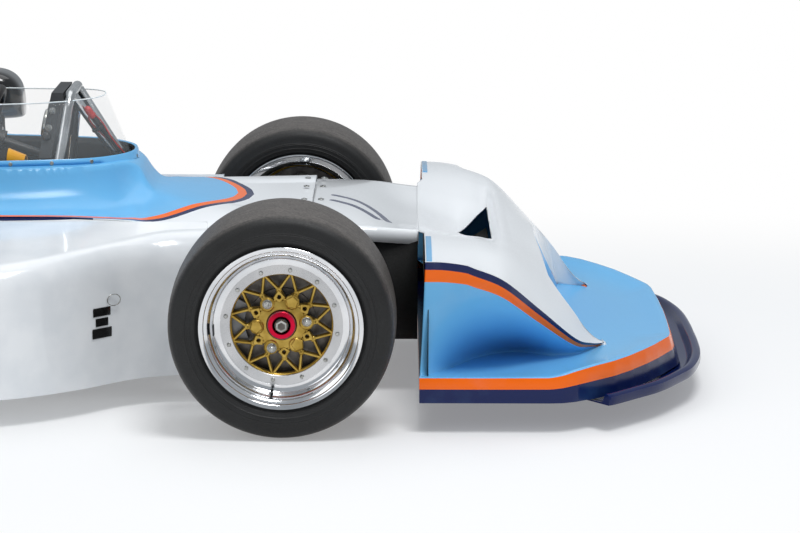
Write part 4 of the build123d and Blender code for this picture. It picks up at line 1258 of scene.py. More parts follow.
    def screen(self) -> None:
        """Clear windscreen: a ruled sheet from inside the flange to its top edge, with pale tubes
        along its edges as a painted highlight.
        """
        rim = self.rim_line(150)
        rim = rim[rim[:, 0] < 0.805]
        foot = self.round_rim(rim, ((0.016, 0.002),))[0]
        top = smooth_rows(((0.449, 0.0), (0.455, 0.04), (0.474, 0.078), (0.51, 0.108),
            (0.56, 0.131), (0.68, 0.155), (0.8, 0.174)), len(rim))
        rise = np.interp(top[:, 0], (0.449, 0.52, 0.6, 0.8), (0.661, 0.658, 0.655, 0.653))
        top = np.stack((FRONT_X - top[:, 0], top[:, 1], rise), axis=1)
        share = np.linspace(0, 1, 14)[:, None, None]
        sheet = foot[None] * (1 - share) + top[None] * share
        Sculpt().grid(sheet).make("clear_windscreen", ACRYLIC, smooth=60, mirrored=True,
            closed=False, thick=0.003, replaces=("windscreen",))
        # Pale opaque tubes along the top and rear edges: painted highlight where light catches
        # the screen's edge
        rear = foot[-1] + (top[-1] - foot[-1]) * np.linspace(0.04, 0.97, 12)[:, None]
        edge = np.concatenate((top[::-1] * (1, -1, 1), top[1:]))
        Sculpt().tube(edge, 0.0015, 8).tube(rear, 0.0018, 8).tube(rear * (1, -1, 1), 0.0018,
            8).make("windscreen_painted_edge_highlights", EDGE_HIGHLIGHT_AND_DIAL_WHITE, smooth=60)

    def pod_section(self, behind: Array) -> Array:
        """Sections of the left side body, from the inner top edge to the floor.

        The shoulder is a quadratic curve between the top and the side.

        Args:
            behind: distances behind the axle in metres.

        Returns:
            Points of shape (distances, section points, 3).
        """
        inner, shoulder, high, bottom = (table_at(self.pod_rows, behind * 1000) / 1000).T
        first = np.stack((inner, np.full_like(inner, 0.408)), axis=1)
        second = np.stack((shoulder - 0.045, high + 0.01), axis=1)
        third = np.stack((shoulder + 0.012, high + 0.004), axis=1)
        fourth = np.stack((shoulder + 0.016, high - 0.06), axis=1)
        last = np.stack((bottom, np.full_like(inner, FLOOR_Z)), axis=1)
        t = np.linspace(0, 1, 14)[:, None, None]
        top = first * (1 - t) + second * t
        bend = (1 - t) ** 2 * second + 2 * t * (1 - t) * third + t ** 2 * fourth
        side = fourth * (1 - t) + last * t
        face = np.concatenate((top, bend[1:], side[1:])).transpose(1, 0, 2)
        return np.dstack((np.broadcast_to((FRONT_X - behind)[:, None], face.shape[:2]),
            face[..., 0], face[..., 1]))

    def pods(self) -> None:
        """Side body skins with their ends, floors and the cooling exits on top."""
        start, end = self.exit_x
        behind = np.concatenate((np.linspace(0.188, start, 70), np.linspace(start, end, 14)[1:],
            np.linspace(end, 1.93, 36)[1:]))
        face = self.pod_section(behind)
        shape = Sculpt().grid(face)
        middle = (face[:-1, :-1] + face[1:, 1:]) / 2
        gone = ((FRONT_X - middle[..., 0] > start) & (FRONT_X - middle[..., 0] < end)
            & (middle[..., 1] > 0.428) & (middle[..., 1] < 0.69)
            & (middle[..., 2] > 0.3)).reshape(-1)
        shape.faces = [f for f, out in zip(shape.faces, gone.tolist()) if not out]
        floor = np.stack((face[:, -1], face[:, -1] * (1, 0, 1) + np.array((0, 0.362, 0))), axis=1)
        shape.grid(floor)
        inner = np.stack((face[:, 0], face[:, 0] * (1, 1, 0) + (0, 0, FLOOR_Z)), axis=1)
        shape.grid(inner)
        front = np.concatenate((face[0], [[face[0, 0, 0], 0.361, FLOOR_Z]]))
        shape.fan(front)
        duct = face[-1]
        core = np.array((duct[0, 0], 0.545, 0.215))
        inset = core + (duct - core) * (1, 0.82, 0.72)
        shape.grid(np.stack((duct, inset)))
        shape.make("side_body_skins", WHITE_PAINT, smooth=42, mirrored=True, closed=False,
            thick=0.003, weld=1e-4, replaces=("side_pods",))

    def ducts(self) -> None:
        """Near-black walls and floors inside the cooling ducts under the exits and at the rear:
        painted shade in the openings.
        """
        shape = Sculpt()
        start, end = self.exit_x
        for low, high in (((start, 0.428), (end, 0.69)), ((1.34, 0.43), (1.925, 0.6))):
            ring = np.array([(FRONT_X - low[0], low[1]), (FRONT_X - low[0], high[1]),
                (FRONT_X - high[0], high[1]), (FRONT_X - high[0], low[1])])
            top = 0.345 if low[0] < 1 else 0.3
            wall = np.stack([np.column_stack((ring, np.full(4, z))) for z in (top, 0.138)])
            shape.grid(wall, wrap_columns=True)
            shape.fan(wall[1])
        shape.make("side_body_duct_painted_shade", DARK_SHEET_AND_SHADE, mirrored=True, closed=False, thick=0.002)

    def fasteners(self) -> None:
        """Quarter turn fasteners beside the nose split and screws on the screen."""
        shape = Sculpt()
        for behind in (-0.03, -0.07):
            for y in (0.1, 0.235, 0.34):
                x = FRONT_X - behind
                z = 0.4205 if y < 0.25 else 0.403
                tilt = (0, 0.0, 1) if y < 0.3 else (0, 0.35, 0.94)
                shape.disc((x, y, z + 0.001), tilt, 0.0075, 0.003, 0.001, 20)
                shape.bolt((x, y, z + 0.002), tilt, 0.0048, 0.002)
        rim = self.rim_line(200)
        for behind in (0.374, 0.47, 0.56, 0.655, 0.79):
            near = rim[max(int(np.argmin(np.abs(rim[:, 0] - behind))), 4)]
            z = float(self.height(near[:1], near[1:])[0])
            way = unit(np.array((0.47 if behind < 0.5 else 0.12, 0.8, 0.1)))
            way = np.array((1.0, 0.15, 0.1)) if behind < 0.4 else way
            shape.disc((FRONT_X - near[0], near[1], z + 0.008), way, 0.0052, 0.004, 0.0014, 18)
        shape.make("body_fasteners", STEEL, mirrored=True, smooth=30)

    def catches(self) -> None:
        """Black over centre catches on each side body, in three steps each."""
        shape = Sculpt()
        for side in SIDES:
            face = self.pod_section(np.array((0.393, self.catch_x, 0.434)))
            for low, high, wide in ((0.176, 0.199, 0.04), (0.203, 0.222, 0.026),
                    (0.226, 0.246, 0.036)):
                z = np.array((low, low, high, high))
                x = FRONT_X - self.catch_x + np.array((-0.5, 0.5, 0.5, -0.5)) * wide
                y = np.interp(z, (FLOOR_Z, face[1, -14, 2]), (face[1, -1, 1], face[1, -14, 1]))
                y = y + (x - FRONT_X + self.catch_x) * (face[0, -1, 1] - face[2, -1, 1]) / 0.041
                ring = np.column_stack((x, side * (y + 0.007), z))
                shape.slab(ring, np.array((0.0, -side * 0.01, 0.0)))
        shape.make("body_catches", BLACK_GLOSS, bevel=0.0015)

    def rings(self) -> None:
        """Wire rings that hold the catches' pins, lying on the side bodies."""
        shape = Sculpt()
        turn = np.linspace(0, 2 * np.pi, 28, endpoint=False)
        face = self.pod_section(np.array((0.395,)))[0]
        for side in SIDES:
            z = 0.26 + 0.013 * np.sin(turn)
            y = np.interp(z, (FLOOR_Z, face[-14, 2]), (face[-1, 1], face[-14, 1])) + 0.006
            out = 0.014 * np.cos(turn)
            x = FRONT_X - self.ring_x + out
            shape.tube(np.column_stack((x, side * (y - out * 0.6), z)), 0.0011, 8, loop=True)
        shape.make("body_catch_rings", STEEL)

    def build(self) -> None:
        """Make the body's pieces."""
        self.upper()
        self.dark_sheets()
        self.screen()
        self.pods()
        self.ducts()
        self.fasteners()
        self.catches()
        self.rings()


@dataclass
class Wheel:
    """Slick tyre on a split rim with a lattice centre, one corner of the car.

    Depths are metres outboard of the wheel's middle.
    """

    name: str
    side: float
    x: float
    y: float
    tyre_r: float
    tread: float
    rim_half: float
    depth: float
    lattice_r: float = 0.113
    bolt_r: float = 0.1236
    vertex_r: float = 0.076

    @property
    def body(self) -> str:
        """Name of the body that turns."""
        return "wheel_" + self.name

    @property
    def axis(self) -> tuple[tuple, tuple]:
        """The wheel's middle and its direction outboard."""
        return (self.x, self.side * self.y, self.tyre_r), (0, self.side, 0)

    @property
    def face(self) -> float:
        """Depth of the bolt flange's front."""
        return self.rim_half - self.depth

    def spot(self, radius: float, angle: float, out: float) -> Array:
        """Point at a radius, an angle in degrees seen from outside, and a depth.

        Args:
            radius: distance from the wheel's axis.
            angle: degrees from the front.
            out: depth outboard.

        Returns:
            The point.
        """
        turn = math.radians(angle)
        return np.array((self.x - self.side * radius * math.cos(turn), self.side * (self.y + out),
            self.tyre_r + radius * math.sin(turn)))

    def turned(self, profile: object, steps: int, value: object = 0.0,
               closed: bool = True) -> Sculpt:
        """Lathe a profile of (radius, depth) round the wheel's axis."""
        return Sculpt().lathe(profile, *self.axis, steps, closed, value)

    def tyre(self) -> None:
        """Crowned tread, round shoulders and walls with fine moulded ridges."""
        r, bulge, end = self.tyre_r, self.rim_half + 0.005, self.rim_half - 0.005
        tread = np.column_stack((r - 0.004 * (np.linspace(0, 1, 10)) ** 2,
            self.tread * np.linspace(0, 1, 10)))
        shoulder = arc((r - 0.004, self.tread), (r - 0.007, bulge - 0.002),
            (r - 0.032, bulge - 0.002), 12)[1:]
        wall = arc((r - 0.032, bulge - 0.002), (r - 0.056, bulge + 0.003), (0.184, end), 26)[1:]
        for place, lift in ((4, 0.0009), (6, 0.0009), (12, 0.0013), (19, 0.001), (21, 0.001)):
            wall[place, 1] += lift
        inner = np.array(((0.181, end - 0.001), (0.168, self.rim_half - 0.014),
            (0.168, self.rim_half - 0.03), (r - 0.034, self.tread)))
        half = np.concatenate((tread, shoulder, wall, inner))
        worn = np.concatenate((np.ones(10), np.clip(1.1 - np.arange(1, 12) / 5, 0, 1),
            np.zeros(29)))
        full = np.concatenate((half, half[::-1][:-1] * (1, -1)))
        worth = np.concatenate((worn, worn[::-1][:-1]))
        self.turned(full, 176, worth).make("tyre_skin_" + self.name, RUBBER, self.body, smooth=50,
            replaces=("tyre_" + self.name,))

    def shells(self) -> None:
        """Polished outer and inner rim shells, stepped and rolled at the lip."""
        h, face = self.rim_half, self.face
        lip = arc((0.1795, h - 0.007), (0.1822, h - 0.001), (0.1795, h), 7)
        rear = 0.15 if self.depth < 0.1 else 0.146
        outer = np.concatenate((((0.1665, h - 0.01), (0.1785, h - 0.009)), lip,
            arc((0.1785, h - 0.0002), (0.17, h - 0.001), (0.169, h - 0.006), 6),
            ((0.1688, h - 0.0075), (0.162, h - 0.0115)), arc((0.1612, h - 0.0125),
            (0.1608, h - 0.015), (0.1608, h - 0.019), 4), ((0.1604, h - 0.0215),
            (0.156, h - 0.0265), (0.1548, h - 0.029)), arc((0.1542, h - 0.031), (rear, h - 0.04),
            (rear, face + 0.008), 8), arc((rear, face + 0.006), (rear - 0.002, face + 0.0012),
            (0.1345, face + 0.0012), 6), ((0.1345, face - 0.004), (rear + 0.003, face - 0.004),
            (rear + 0.004, h - 0.046), (0.166, h - 0.034))))
        inner = np.array(((0.1795, 0.003 - h), (0.1812, 0.0005 - h), (0.1795, -h),
            (0.1745, 0.001 - h), (0.162, 0.012 - h), (0.16, 0.02 - h), (0.16, 0.044 - h),
            (0.146, 0.062 - h), (0.144, 0.07 - h), (0.144, face - 0.012), (0.15, face - 0.012),
            (0.15, 0.06 - h), (0.165, 0.042 - h), (0.1655, 0.01 - h)))
        shape = self.turned(outer, 160)
        shape.lathe(inner, *self.axis, 128)
        shape.make("rim_shells_" + self.name, POLISHED, self.body, smooth=32,
            replaces=("rim_" + self.name,))
        ring = ((self.lattice_r, face - 0.008), (self.lattice_r, face - 0.0008),
            (self.lattice_r + 0.0008, face), (0.1338, face), (0.1346, face + 0.0005),
            (0.1346, face - 0.008))
        self.turned(ring, 144).make("rim_flange_ring_" + self.name, SATIN_RING, self.body,
            smooth=30)

    def web(self, shape: Sculpt, start: Array, end: Array, wide: float,
            back: float, front: float) -> None:
        """Add one cast strut: wide at the back, narrower and chamfered in front.

        Args:
            shape: the sculpt that takes the strut.
            start: its first end.
            end: its other end.
            wide: its width.
            back: depth of its rear face.
            front: depth of its front face.
        """
        run = unit(end - start)
        flank = np.cross(run, (0.0, self.side, 0.0))
        rows = []
        for point in (start, end):
            rows.append([point + flank * w * wide / 2 + np.array((0, self.side * d, 0))
                for w, d in ((1.25, back), (1.05, (back + front) / 2), (0.95, front - 0.0025),
                (0.55, front), (-0.55, front), (-0.95, front - 0.0025),
                (-1.05, (back + front) / 2), (-1.25, back))])
        face = np.array(rows)
        shape.grid(face, wrap_columns=True)
        shape.fan(face[0]).fan(face[1], flip=True)

    def lattice(self) -> None:
        """Gold lattice: twelve V spokes, six bosses, pierced diamonds and the rim."""
        face = self.face
        base = face - 0.026
        shape = self.turned(((0.113, base), (0.128, base), (0.128, face - 0.0085),
            (0.113, face - 0.0085), (0.1105, face - 0.011), (0.1095, face - 0.016), (0.11, base)),
            96)
        for step in range(12):
            angle = 30 * step + 4.5
            vertex = self.spot(self.vertex_r, angle, 0)
            for turn in (-14.6, 14.6):
                self.web(shape, vertex, self.spot(0.1135, angle + turn, 0), 0.0062,
                         base + 0.002, face - 0.0095)
            for turn in (-12.5, 12.5):
                self.web(shape, vertex, self.spot(0.054, angle + turn, 0), 0.0074,
                         base + 0.002, face - 0.0075)
            shape.disc(self.spot(self.vertex_r, angle, base + 0.0095), (0, self.side, 0), 0.0062,
                0.0165, 0.002, 14)
        shape.lathe(((0.033, base), (0.056, base), (0.057, face - 0.012), (0.053, face - 0.006),
            (0.044, face - 0.004), (0.034, face - 0.003), (0.0325, face - 0.006), (0.0325, base)),
            *self.axis, 72)
        for step in range(6):
            seat = self.spot(0.0545, 60 * step + 5, face - 0.0105)
            shape.disc(seat, (0, self.side, 0), 0.0165, 0.021, 0.003, 10)
            gem = 60 * step + 35
            corners = [self.spot(0.0615 + a, gem + b, face - 0.004) for a, b in ((0.015, 0),
                (0.0, 12.5), (-0.012, 0), (0.0, -12.5))]
            hole = [self.spot(0.0618 + 0.0052 * math.cos(t),
                gem + math.degrees(0.0052 * math.sin(t) / 0.0618), face - 0.004)
                for t in np.linspace(0, 2 * math.pi, 16, endpoint=False)]
            outer = np.concatenate([np.linspace(corners[k], corners[(k + 1) % 4], 4,
                endpoint=False) for k in range(4)])
            low = np.array((0, -self.side * 0.02, 0))
            edge = (np.array(hole) - outer) * 0.12
            top_ring = outer + edge
            rows = np.stack((outer + low, outer + low * 0.1, top_ring, np.array(hole),
                np.array(hole) + low))
            shape.grid(rows, wrap_columns=True)
        shape.make("lattice_centre_" + self.name, GOLD, self.body, smooth=28,
            replaces=("wheel_centre_" + self.name,))

    def hardware(self) -> None:
        """Flange bolts, wheel nuts, blank bosses, balance weight and hub nut."""
        face, out = self.face, self.axis[1]
        shape = Sculpt()
        for step in range(12):
            shape.bolt(self.spot(self.bolt_r, 30 * step + 21, face), out, 0.0072, 0.0062)
        for angle in (8, 124, 247):
            shape.bolt(self.spot(0.0555, angle, face + 0.0005), out, 0.016, 0.0125)
            shape.disc(self.spot(0.0555, angle, face + 0.013), out, 0.0048, 0.006, 0.001)
        shape.make("wheel_bolts_" + self.name, STEEL, self.body, smooth=30)
        blanks = Sculpt()
        for angle in (65, 184, 309):
            blanks.disc(self.spot(0.0555, angle, face + 0.0015), out, 0.015, 0.007, 0.0022, 5,
                math.radians(angle))
        blanks.make("blank_bosses_" + self.name, GOLD, self.body, smooth=28)
        hub = face - 0.027
        ring = ((0.015, hub + 0.0245), (0.0295, hub + 0.0245), (0.0315, hub + 0.0265),
            (0.0315, hub + 0.031), (0.029, hub + 0.0335), (0.0205, hub + 0.0345),
            (0.019, hub + 0.0325), (0.015, hub + 0.0325))
        self.turned(ring, 64).make("hub_ring_" + self.name, RED_ANODISED, self.body, smooth=30)
        nut = self.turned(((0.0, hub + 0.031), (0.0143, hub + 0.031), (0.015, hub + 0.033),
            (0.015, hub + 0.0415), (0.0132, hub + 0.044), (0.009, hub + 0.044),
            (0.0084, hub + 0.0425), (0.0, hub + 0.0425)), 6, closed=False)
        nut.make("hub_nut_" + self.name, STEEL, self.body, smooth=28)
        weight = [self.spot(0.15 if self.depth < 0.1 else 0.146, 178 + a, face + d)
            for a, d in ((0, 0.016), (0, 0.034), (9, 0.034), (9, 0.016))]
        inward = (np.array((self.x, self.side * (self.y + face + 0.025), self.tyre_r))
            - np.mean(weight, axis=0))
        lump = Sculpt().slab(np.array(weight), unit(inward) * 0.0035)
        lump.make("balance_weight_" + self.name, DARK_PANEL, self.body, bevel=0.0008)

    def valve(self) -> None:
        """Tyre valve with its cap, standing in the rim's dish."""
        start = self.spot(0.146, 262, self.face + 0.004)
        shape = Sculpt().tube([start, start + np.array((0, self.side * 0.022, 0.004))], 0.0026,
            10)
        shape.tube([start + np.array((0, self.side * 0.018, 0.0035)),
            start + np.array((0, self.side * 0.031, 0.006))], 0.004, 12)
        shape.make("tyre_valve_" + self.name, BLACK_GLOSS, self.body)

    def build(self) -> None:
        """Make the corner's pieces and finish its hub."""
        self.tyre()
        self.shells()
        self.lattice()
        self.hardware()
        self.valve()
        dress("hub_" + self.name, DISC)


@dataclass
class Cockpit:
    """Driver's place: pad, harness, dials, mirrors, wires and bolts."""

    pad_foot: tuple = (FRONT_X - 1.052, 0.0, 0.143)
    pad_head: tuple = (FRONT_X - 1.148, 0.0, 0.582)
    pad_half: float = 0.19
    belt: float = 0.048
    buckle_way: tuple = (0.55, 0, 0.83)
    plate_way: tuple = (0, 0.943, 0.331)
    mirror_y: float = 0.385
    mirror_z: float = 0.613

    def pad(self) -> None:
        """Seat back pad: a crowned closed form with four sewn channels across it.

        Height over the back plane is the crown, a product of two rounded edges,
        less a narrow dip at each seam. Both faces meet in the piped edge.
        """
        foot, head = np.array(self.pad_foot), np.array(self.pad_head)
        up = unit(head - foot)
        out = np.array((up[2], 0.0, -up[0]))
        v, u = np.meshgrid(np.linspace(0, 1, 84), np.linspace(-1, 1, 60), indexing="ij")
        edge = (1 - np.abs(u) ** 6) ** 0.5 * (1 - np.abs(2 * v - 1) ** 10) ** 0.5
        seam = np.exp(-((v * 5 - np.round(v * 5)) / 0.09) ** 2) * (v > 0.1) * (v < 0.9)
        crown = edge * (0.011 + 0.009 * (1 - u ** 2)) - 0.006 * seam * edge
        pull = 1 - 0.05 * np.sin(np.pi * v) * np.abs(u) ** 3
        base = (foot + v[..., None] * (head - foot)
                + u[..., None] * pull[..., None] * np.array((0, self.pad_half, 0)))
        shape = Sculpt().grid(base + out * crown[..., None], flip=True)
        shape.grid(base - out * (0.002 + 0.004 * edge[..., None]))
        rim = np.concatenate((base[0], base[1:, -1], base[-1, ::-1][1:], base[::-1, 0][1:-1]))
        shape.tube(rim, 0.0035, 8, loop=True)
        piece = shape.make("seat_back_pad", FABRIC, smooth=50, weld=0, replaces=("seat_pad",))

    def ribbon(self, shape: Sculpt, path: object, wide: object) -> None:
        """Add a flat webbing strap: a path and a width vector, 2.4 mm thick.

        Args:
            shape: the sculpt that takes the strap.
            path: rows of points.
            wide: vector across the strap, as long as its width.
        """
        line = smooth_rows(path, 40)
        half = np.asarray(wide, float) / 2
        normal = unit(np.cross(np.gradient(line, axis=0), half)) * 0.0012
        shape.grid(np.stack((line - half - normal, line + half - normal, line + half + normal,
            line - half + normal)), wrap_rows=True)
        for end in (0, -1):
            shape.fan(np.stack((line[end] - half - normal[end], line[end] + half - normal[end],
                line[end] + half + normal[end], line[end] - half + normal[end])))

    def harness(self) -> None:
        """Shoulder and lap straps on the pad, the buckle, and a strap on the rim."""
        shape = Sculpt()
        x = FRONT_X
        for side in SIDES:
            self.ribbon(shape, ((x - 1.175, side * 0.075, 0.625), (x - 1.16, side * 0.075, 0.612),
                (x - 1.126, side * 0.075, 0.59), (x - 1.115, side * 0.073, 0.54),
                (x - 1.085, side * 0.062, 0.4), (x - 1.045, side * 0.045, 0.27),
                (x - 0.99, side * 0.028, 0.205)), (0, self.belt, 0))
            self.ribbon(shape, ((x - 1.035, side * 0.205, 0.15), (x - 1.02, side * 0.185, 0.175),
                (x - 0.995, side * 0.11, 0.196), (x - 0.985, side * 0.03, 0.203)),
                (0.03, 0, 0.036))
        self.ribbon(shape, ((x - 0.634, -0.085, 0.4), (x - 0.636, -0.13, 0.48),
            (x - 0.64, -0.17, 0.535), (x - 0.642, -0.19, 0.546), (x - 0.644, -0.203, 0.536),
            (x - 0.646, -0.208, 0.51)), (0.04, 0, -0.016))
        shape.make("harness_webbing", WEBBING, smooth=50)
        buckle = Sculpt().disc((x - 0.978, 0, 0.207), self.buckle_way, 0.034, 0.014, 0.004, 36)
        buckle.disc((x - 0.973, 0, 0.215), self.buckle_way, 0.012, 0.008, 0.002, 20)
        buckle.make("harness_buckle", STEEL, smooth=35)

    def dash(self) -> None:
        """Three dials on the dash's rear face and the bolts in its side plates."""
        back = unit(np.array((-0.148, 0.0, 0.028)))
        rims, faces, hands = Sculpt(), Sculpt(), Sculpt()
        for y, radius in ((-0.082, 0.03), (0.0, 0.038), (0.082, 0.03)):
            z = 0.6 if y else 0.606
            spot = np.array((FRONT_X - 0.596 + (z - 0.528) / 0.148 * 0.028, y, z))
            rims.lathe(((radius + 0.004, -0.004), (radius + 0.004, 0.006),
                (radius + 0.001, 0.009), (radius - 0.003, 0.006), (radius - 0.003, -0.004)), spot,
                back, 40)
            faces.disc(spot + back * 0.002, back, radius - 0.002, 0.003, 0.0, 36)
            side, up = np.array((0.0, 1.0, 0.0)), np.cross(back, (0.0, 1.0, 0.0))
            way = unit(up * -0.6 + side * 0.8)
            hands.slab(np.stack([spot + back * 0.0045 + a for a in (side * 0.001,
                way * (radius - 0.008), side * -0.001, -way * 0.006)]), back * 0.001)
            for angle in np.radians(np.arange(-130, 131, 26)):
                tick = side * math.sin(angle) + up * math.cos(angle)
                turn = np.cross(back, tick) * 0.0007
                far = spot + back * 0.0042
                hands.slab(np.stack((far + tick * (radius - 0.01) + turn,
                    far + tick * (radius - 0.005) + turn, far + tick * (radius - 0.005) - turn,
                    far + tick * (radius - 0.01) - turn)), back * 0.0006)
        rims.make("dial_rims", STEEL, smooth=35)
        faces.make("dial_faces", GAUGE_FACE, smooth=30)
        hands.make("dial_marks", EDGE_HIGHLIGHT_AND_DIAL_WHITE, smooth=30)
        bolts, caps = Sculpt(), Sculpt()
        for behind, y, z in ((0.565, 0.1228, 0.635), (0.573, 0.1362, 0.596)):
            spot = np.array((FRONT_X - behind, y, z))
            bolts.disc(spot, self.plate_way, 0.0085, 0.003, 0.001, 24)
            bolts.bolt(spot + (0, 0.001, 0), self.plate_way, 0.009, 0.006)
        bolts.make("dash_side_bolts", STEEL, mirrored=True, smooth=30)
        caps.lathe(((0, 0.014), (0.006, 0.013), (0.01, 0.008), (0.011, 0.0), (0, -0.001)),
            (FRONT_X - 0.5775, 0.143, 0.576), self.plate_way, 24, closed=False)
        caps.make("dash_side_caps", BLACK_GLOSS, mirrored=True, smooth=50)

    def wires(self) -> None:
        """Black sleeve with its red plug and wires, clipped along the hoop's brace."""
        x = FRONT_X
        line = smooth_rows(((x - 0.476, -0.078, 0.62), (x - 0.462, -0.073, 0.6),
            (x - 0.44, -0.066, 0.57), (x - 0.418, -0.058, 0.54), (x - 0.396, -0.05, 0.5),
            (x - 0.385, -0.05, 0.44)), 40)
        Sculpt().tube(line, 0.0065, 10).make("loom_sleeve", WIRE, smooth=50)
        plug = np.linspace(line[0] + (-0.014, -0.004, 0.02), line[3], 8)
        size = np.array((0.004, 0.008, 0.009, 0.009, 0.008, 0.009, 0.009, 0.006))
        red = Sculpt().tube(plug, size, 16)
        wave = np.sin(np.linspace(0, 9, 40))[:, None] * (0.003, 0.004, 0.0)
        red.tube(line + (0.008, -0.004, 0.0) + wave, 0.0018, 6)
        red.tube(line + (-0.009, 0.006, -0.006) - wave, 0.0018, 6)
        red.make("loom_red_plug", RED_HOSE, smooth=50)
        clip = Sculpt()
        for spot in (line[10], line[26]):
            clip.disc(spot + (-0.006, 0.004, -0.004), line[11] - line[9], 0.017, 0.006, 0.001, 24)
        clip.make("loom_clips", WIRE, smooth=35)

    def mirrors(self) -> None:
        """Mirror housings: a rounded shell that tapers forward to its flat underside.

        Its section is a superellipse, scaled by the cosine of an angle that runs
        forward, while the underside stays level.
        """
        angle = np.linspace(0, 1.5, 26)[:, None]
        scale = np.cos(angle) ** 0.55
        turn = np.linspace(0, 2 * np.pi, 56, endpoint=False)[None, :]
        c, s = np.cos(turn), np.sin(turn)
        y = self.mirror_y + 0.08 * scale * np.sign(c) * np.abs(c) ** 0.5
        z = (self.mirror_z - 0.052 * (1 - scale) + 0.061 * scale * np.sign(s) * np.abs(s) ** 0.5)
        x = FRONT_X - 0.764 + 0.076 * np.sin(angle) + 0 * turn
        shell = np.stack((x, y, z), axis=-1)
        lip = shell[0] + (-0.006, 0, 0)
        middle = np.array((0, self.mirror_y, self.mirror_z))
        inner = lip + (middle - lip * (0, 1, 1)) * 0.06 * np.array((0, 1, 1))
        rows = np.concatenate((inner[None] + (0.004, 0, 0), inner[None], lip[None], shell))
        shape = Sculpt().grid(rows, wrap_columns=True).fan(rows[0]).fan(rows[-1])
        shape.tube(((FRONT_X - 0.748, 0.38, 0.585), (FRONT_X - 0.742, 0.345, 0.535),
            (FRONT_X - 0.736, 0.318, 0.488)), 0.0075, 14)
        shape.make("mirror_housings", BLACK_GLOSS, smooth=45, mirrored=True,
            replaces=("mirrors",))
        glass = Sculpt().slab(inner + (0.003, 0, 0), np.array((-0.002, 0.0, 0.0)))
        glass.make("mirror_glasses", MIRROR_GLASS, smooth=30, mirrored=True)
        nuts = Sculpt().disc((FRONT_X - 0.712, 0.34, 0.566), (0.2, -0.9, 0), 0.006, 0.012, 0.002,
            20)
        nuts.disc((FRONT_X - 0.748, 0.378, 0.563), (0, 0, 1), 0.012, 0.006, 0.002, 24)
        nuts.make("mirror_bolts", STEEL, mirrored=True, smooth=40)

    def build(self) -> None:
        """Make the cockpit's pieces."""
        self.pad()
        self.harness()
        self.dash()
        self.wires()
        self.mirrors()


@dataclass
class Suspension:
    """Coil springs round their dampers, in place of the plain packed units."""

    units: tuple = (("front", (FRONT_X - 0.084, 0.498, 0.174), (FRONT_X - 0.09, 0.256, 0.34),
        0.028), ("rear", (REAR_X - 0.088, 0.468, 0.205), (REAR_X - 0.07, 0.205, 0.505), 0.036))
    turns: float = 7.5
    wire: float = 0.0045

    def build(self) -> None:
        """Make both ends' units, the spring a circle carried along a helix."""
        for name, low, high, radius in self.units:
            foot, run = np.array(low), np.array(high) - np.array(low)
            way = unit(run)
            first, second = across(way)
            t = np.linspace(0, 1, 260)[:, None]
            angle = 2 * np.pi * self.turns * t
            coil = (foot + run * (0.19 + 0.68 * t)
                    + (radius - self.wire) * (first * np.cos(angle) + second * np.sin(angle)))
            Sculpt().tube(coil, self.wire, 10).make(f"{name}_coil_springs", SPRING, smooth=60,
                mirrored=True)
            long = float(np.linalg.norm(run))
            body = Sculpt().lathe(((0, 0.04), (0.014, 0.04), (0.02, 0.06), (0.02, 0.18),
                (radius + 0.002, 0.18), (radius + 0.002, 0.2), (0.02, 0.2), (0.02, 0.56),
                (0.017, 0.58), (0.007, 0.58), (0.007, 0.86), (radius + 0.002, 0.86),
                (radius + 0.002, 0.885), (0.012, 0.9), (0.008, 0.97), (0, 0.97))
                * np.array((1, long)), foot, way, 40, closed=False)
            for spot in (foot, foot + run):
                body.disc(spot, (1, 0, 0), 0.014, 0.026, 0.002, 28)
                body.bolt(spot + (0.013, 0, 0), (1, 0, 0), 0.013, 0.007)
                body.bolt(spot - (0.013, 0, 0), (-1, 0, 0), 0.013, 0.007)
            body.make(f"{name}_damper_bodies", CALIPER, smooth=35, mirrored=True,
                replaces=(f"{name}_dampers",))


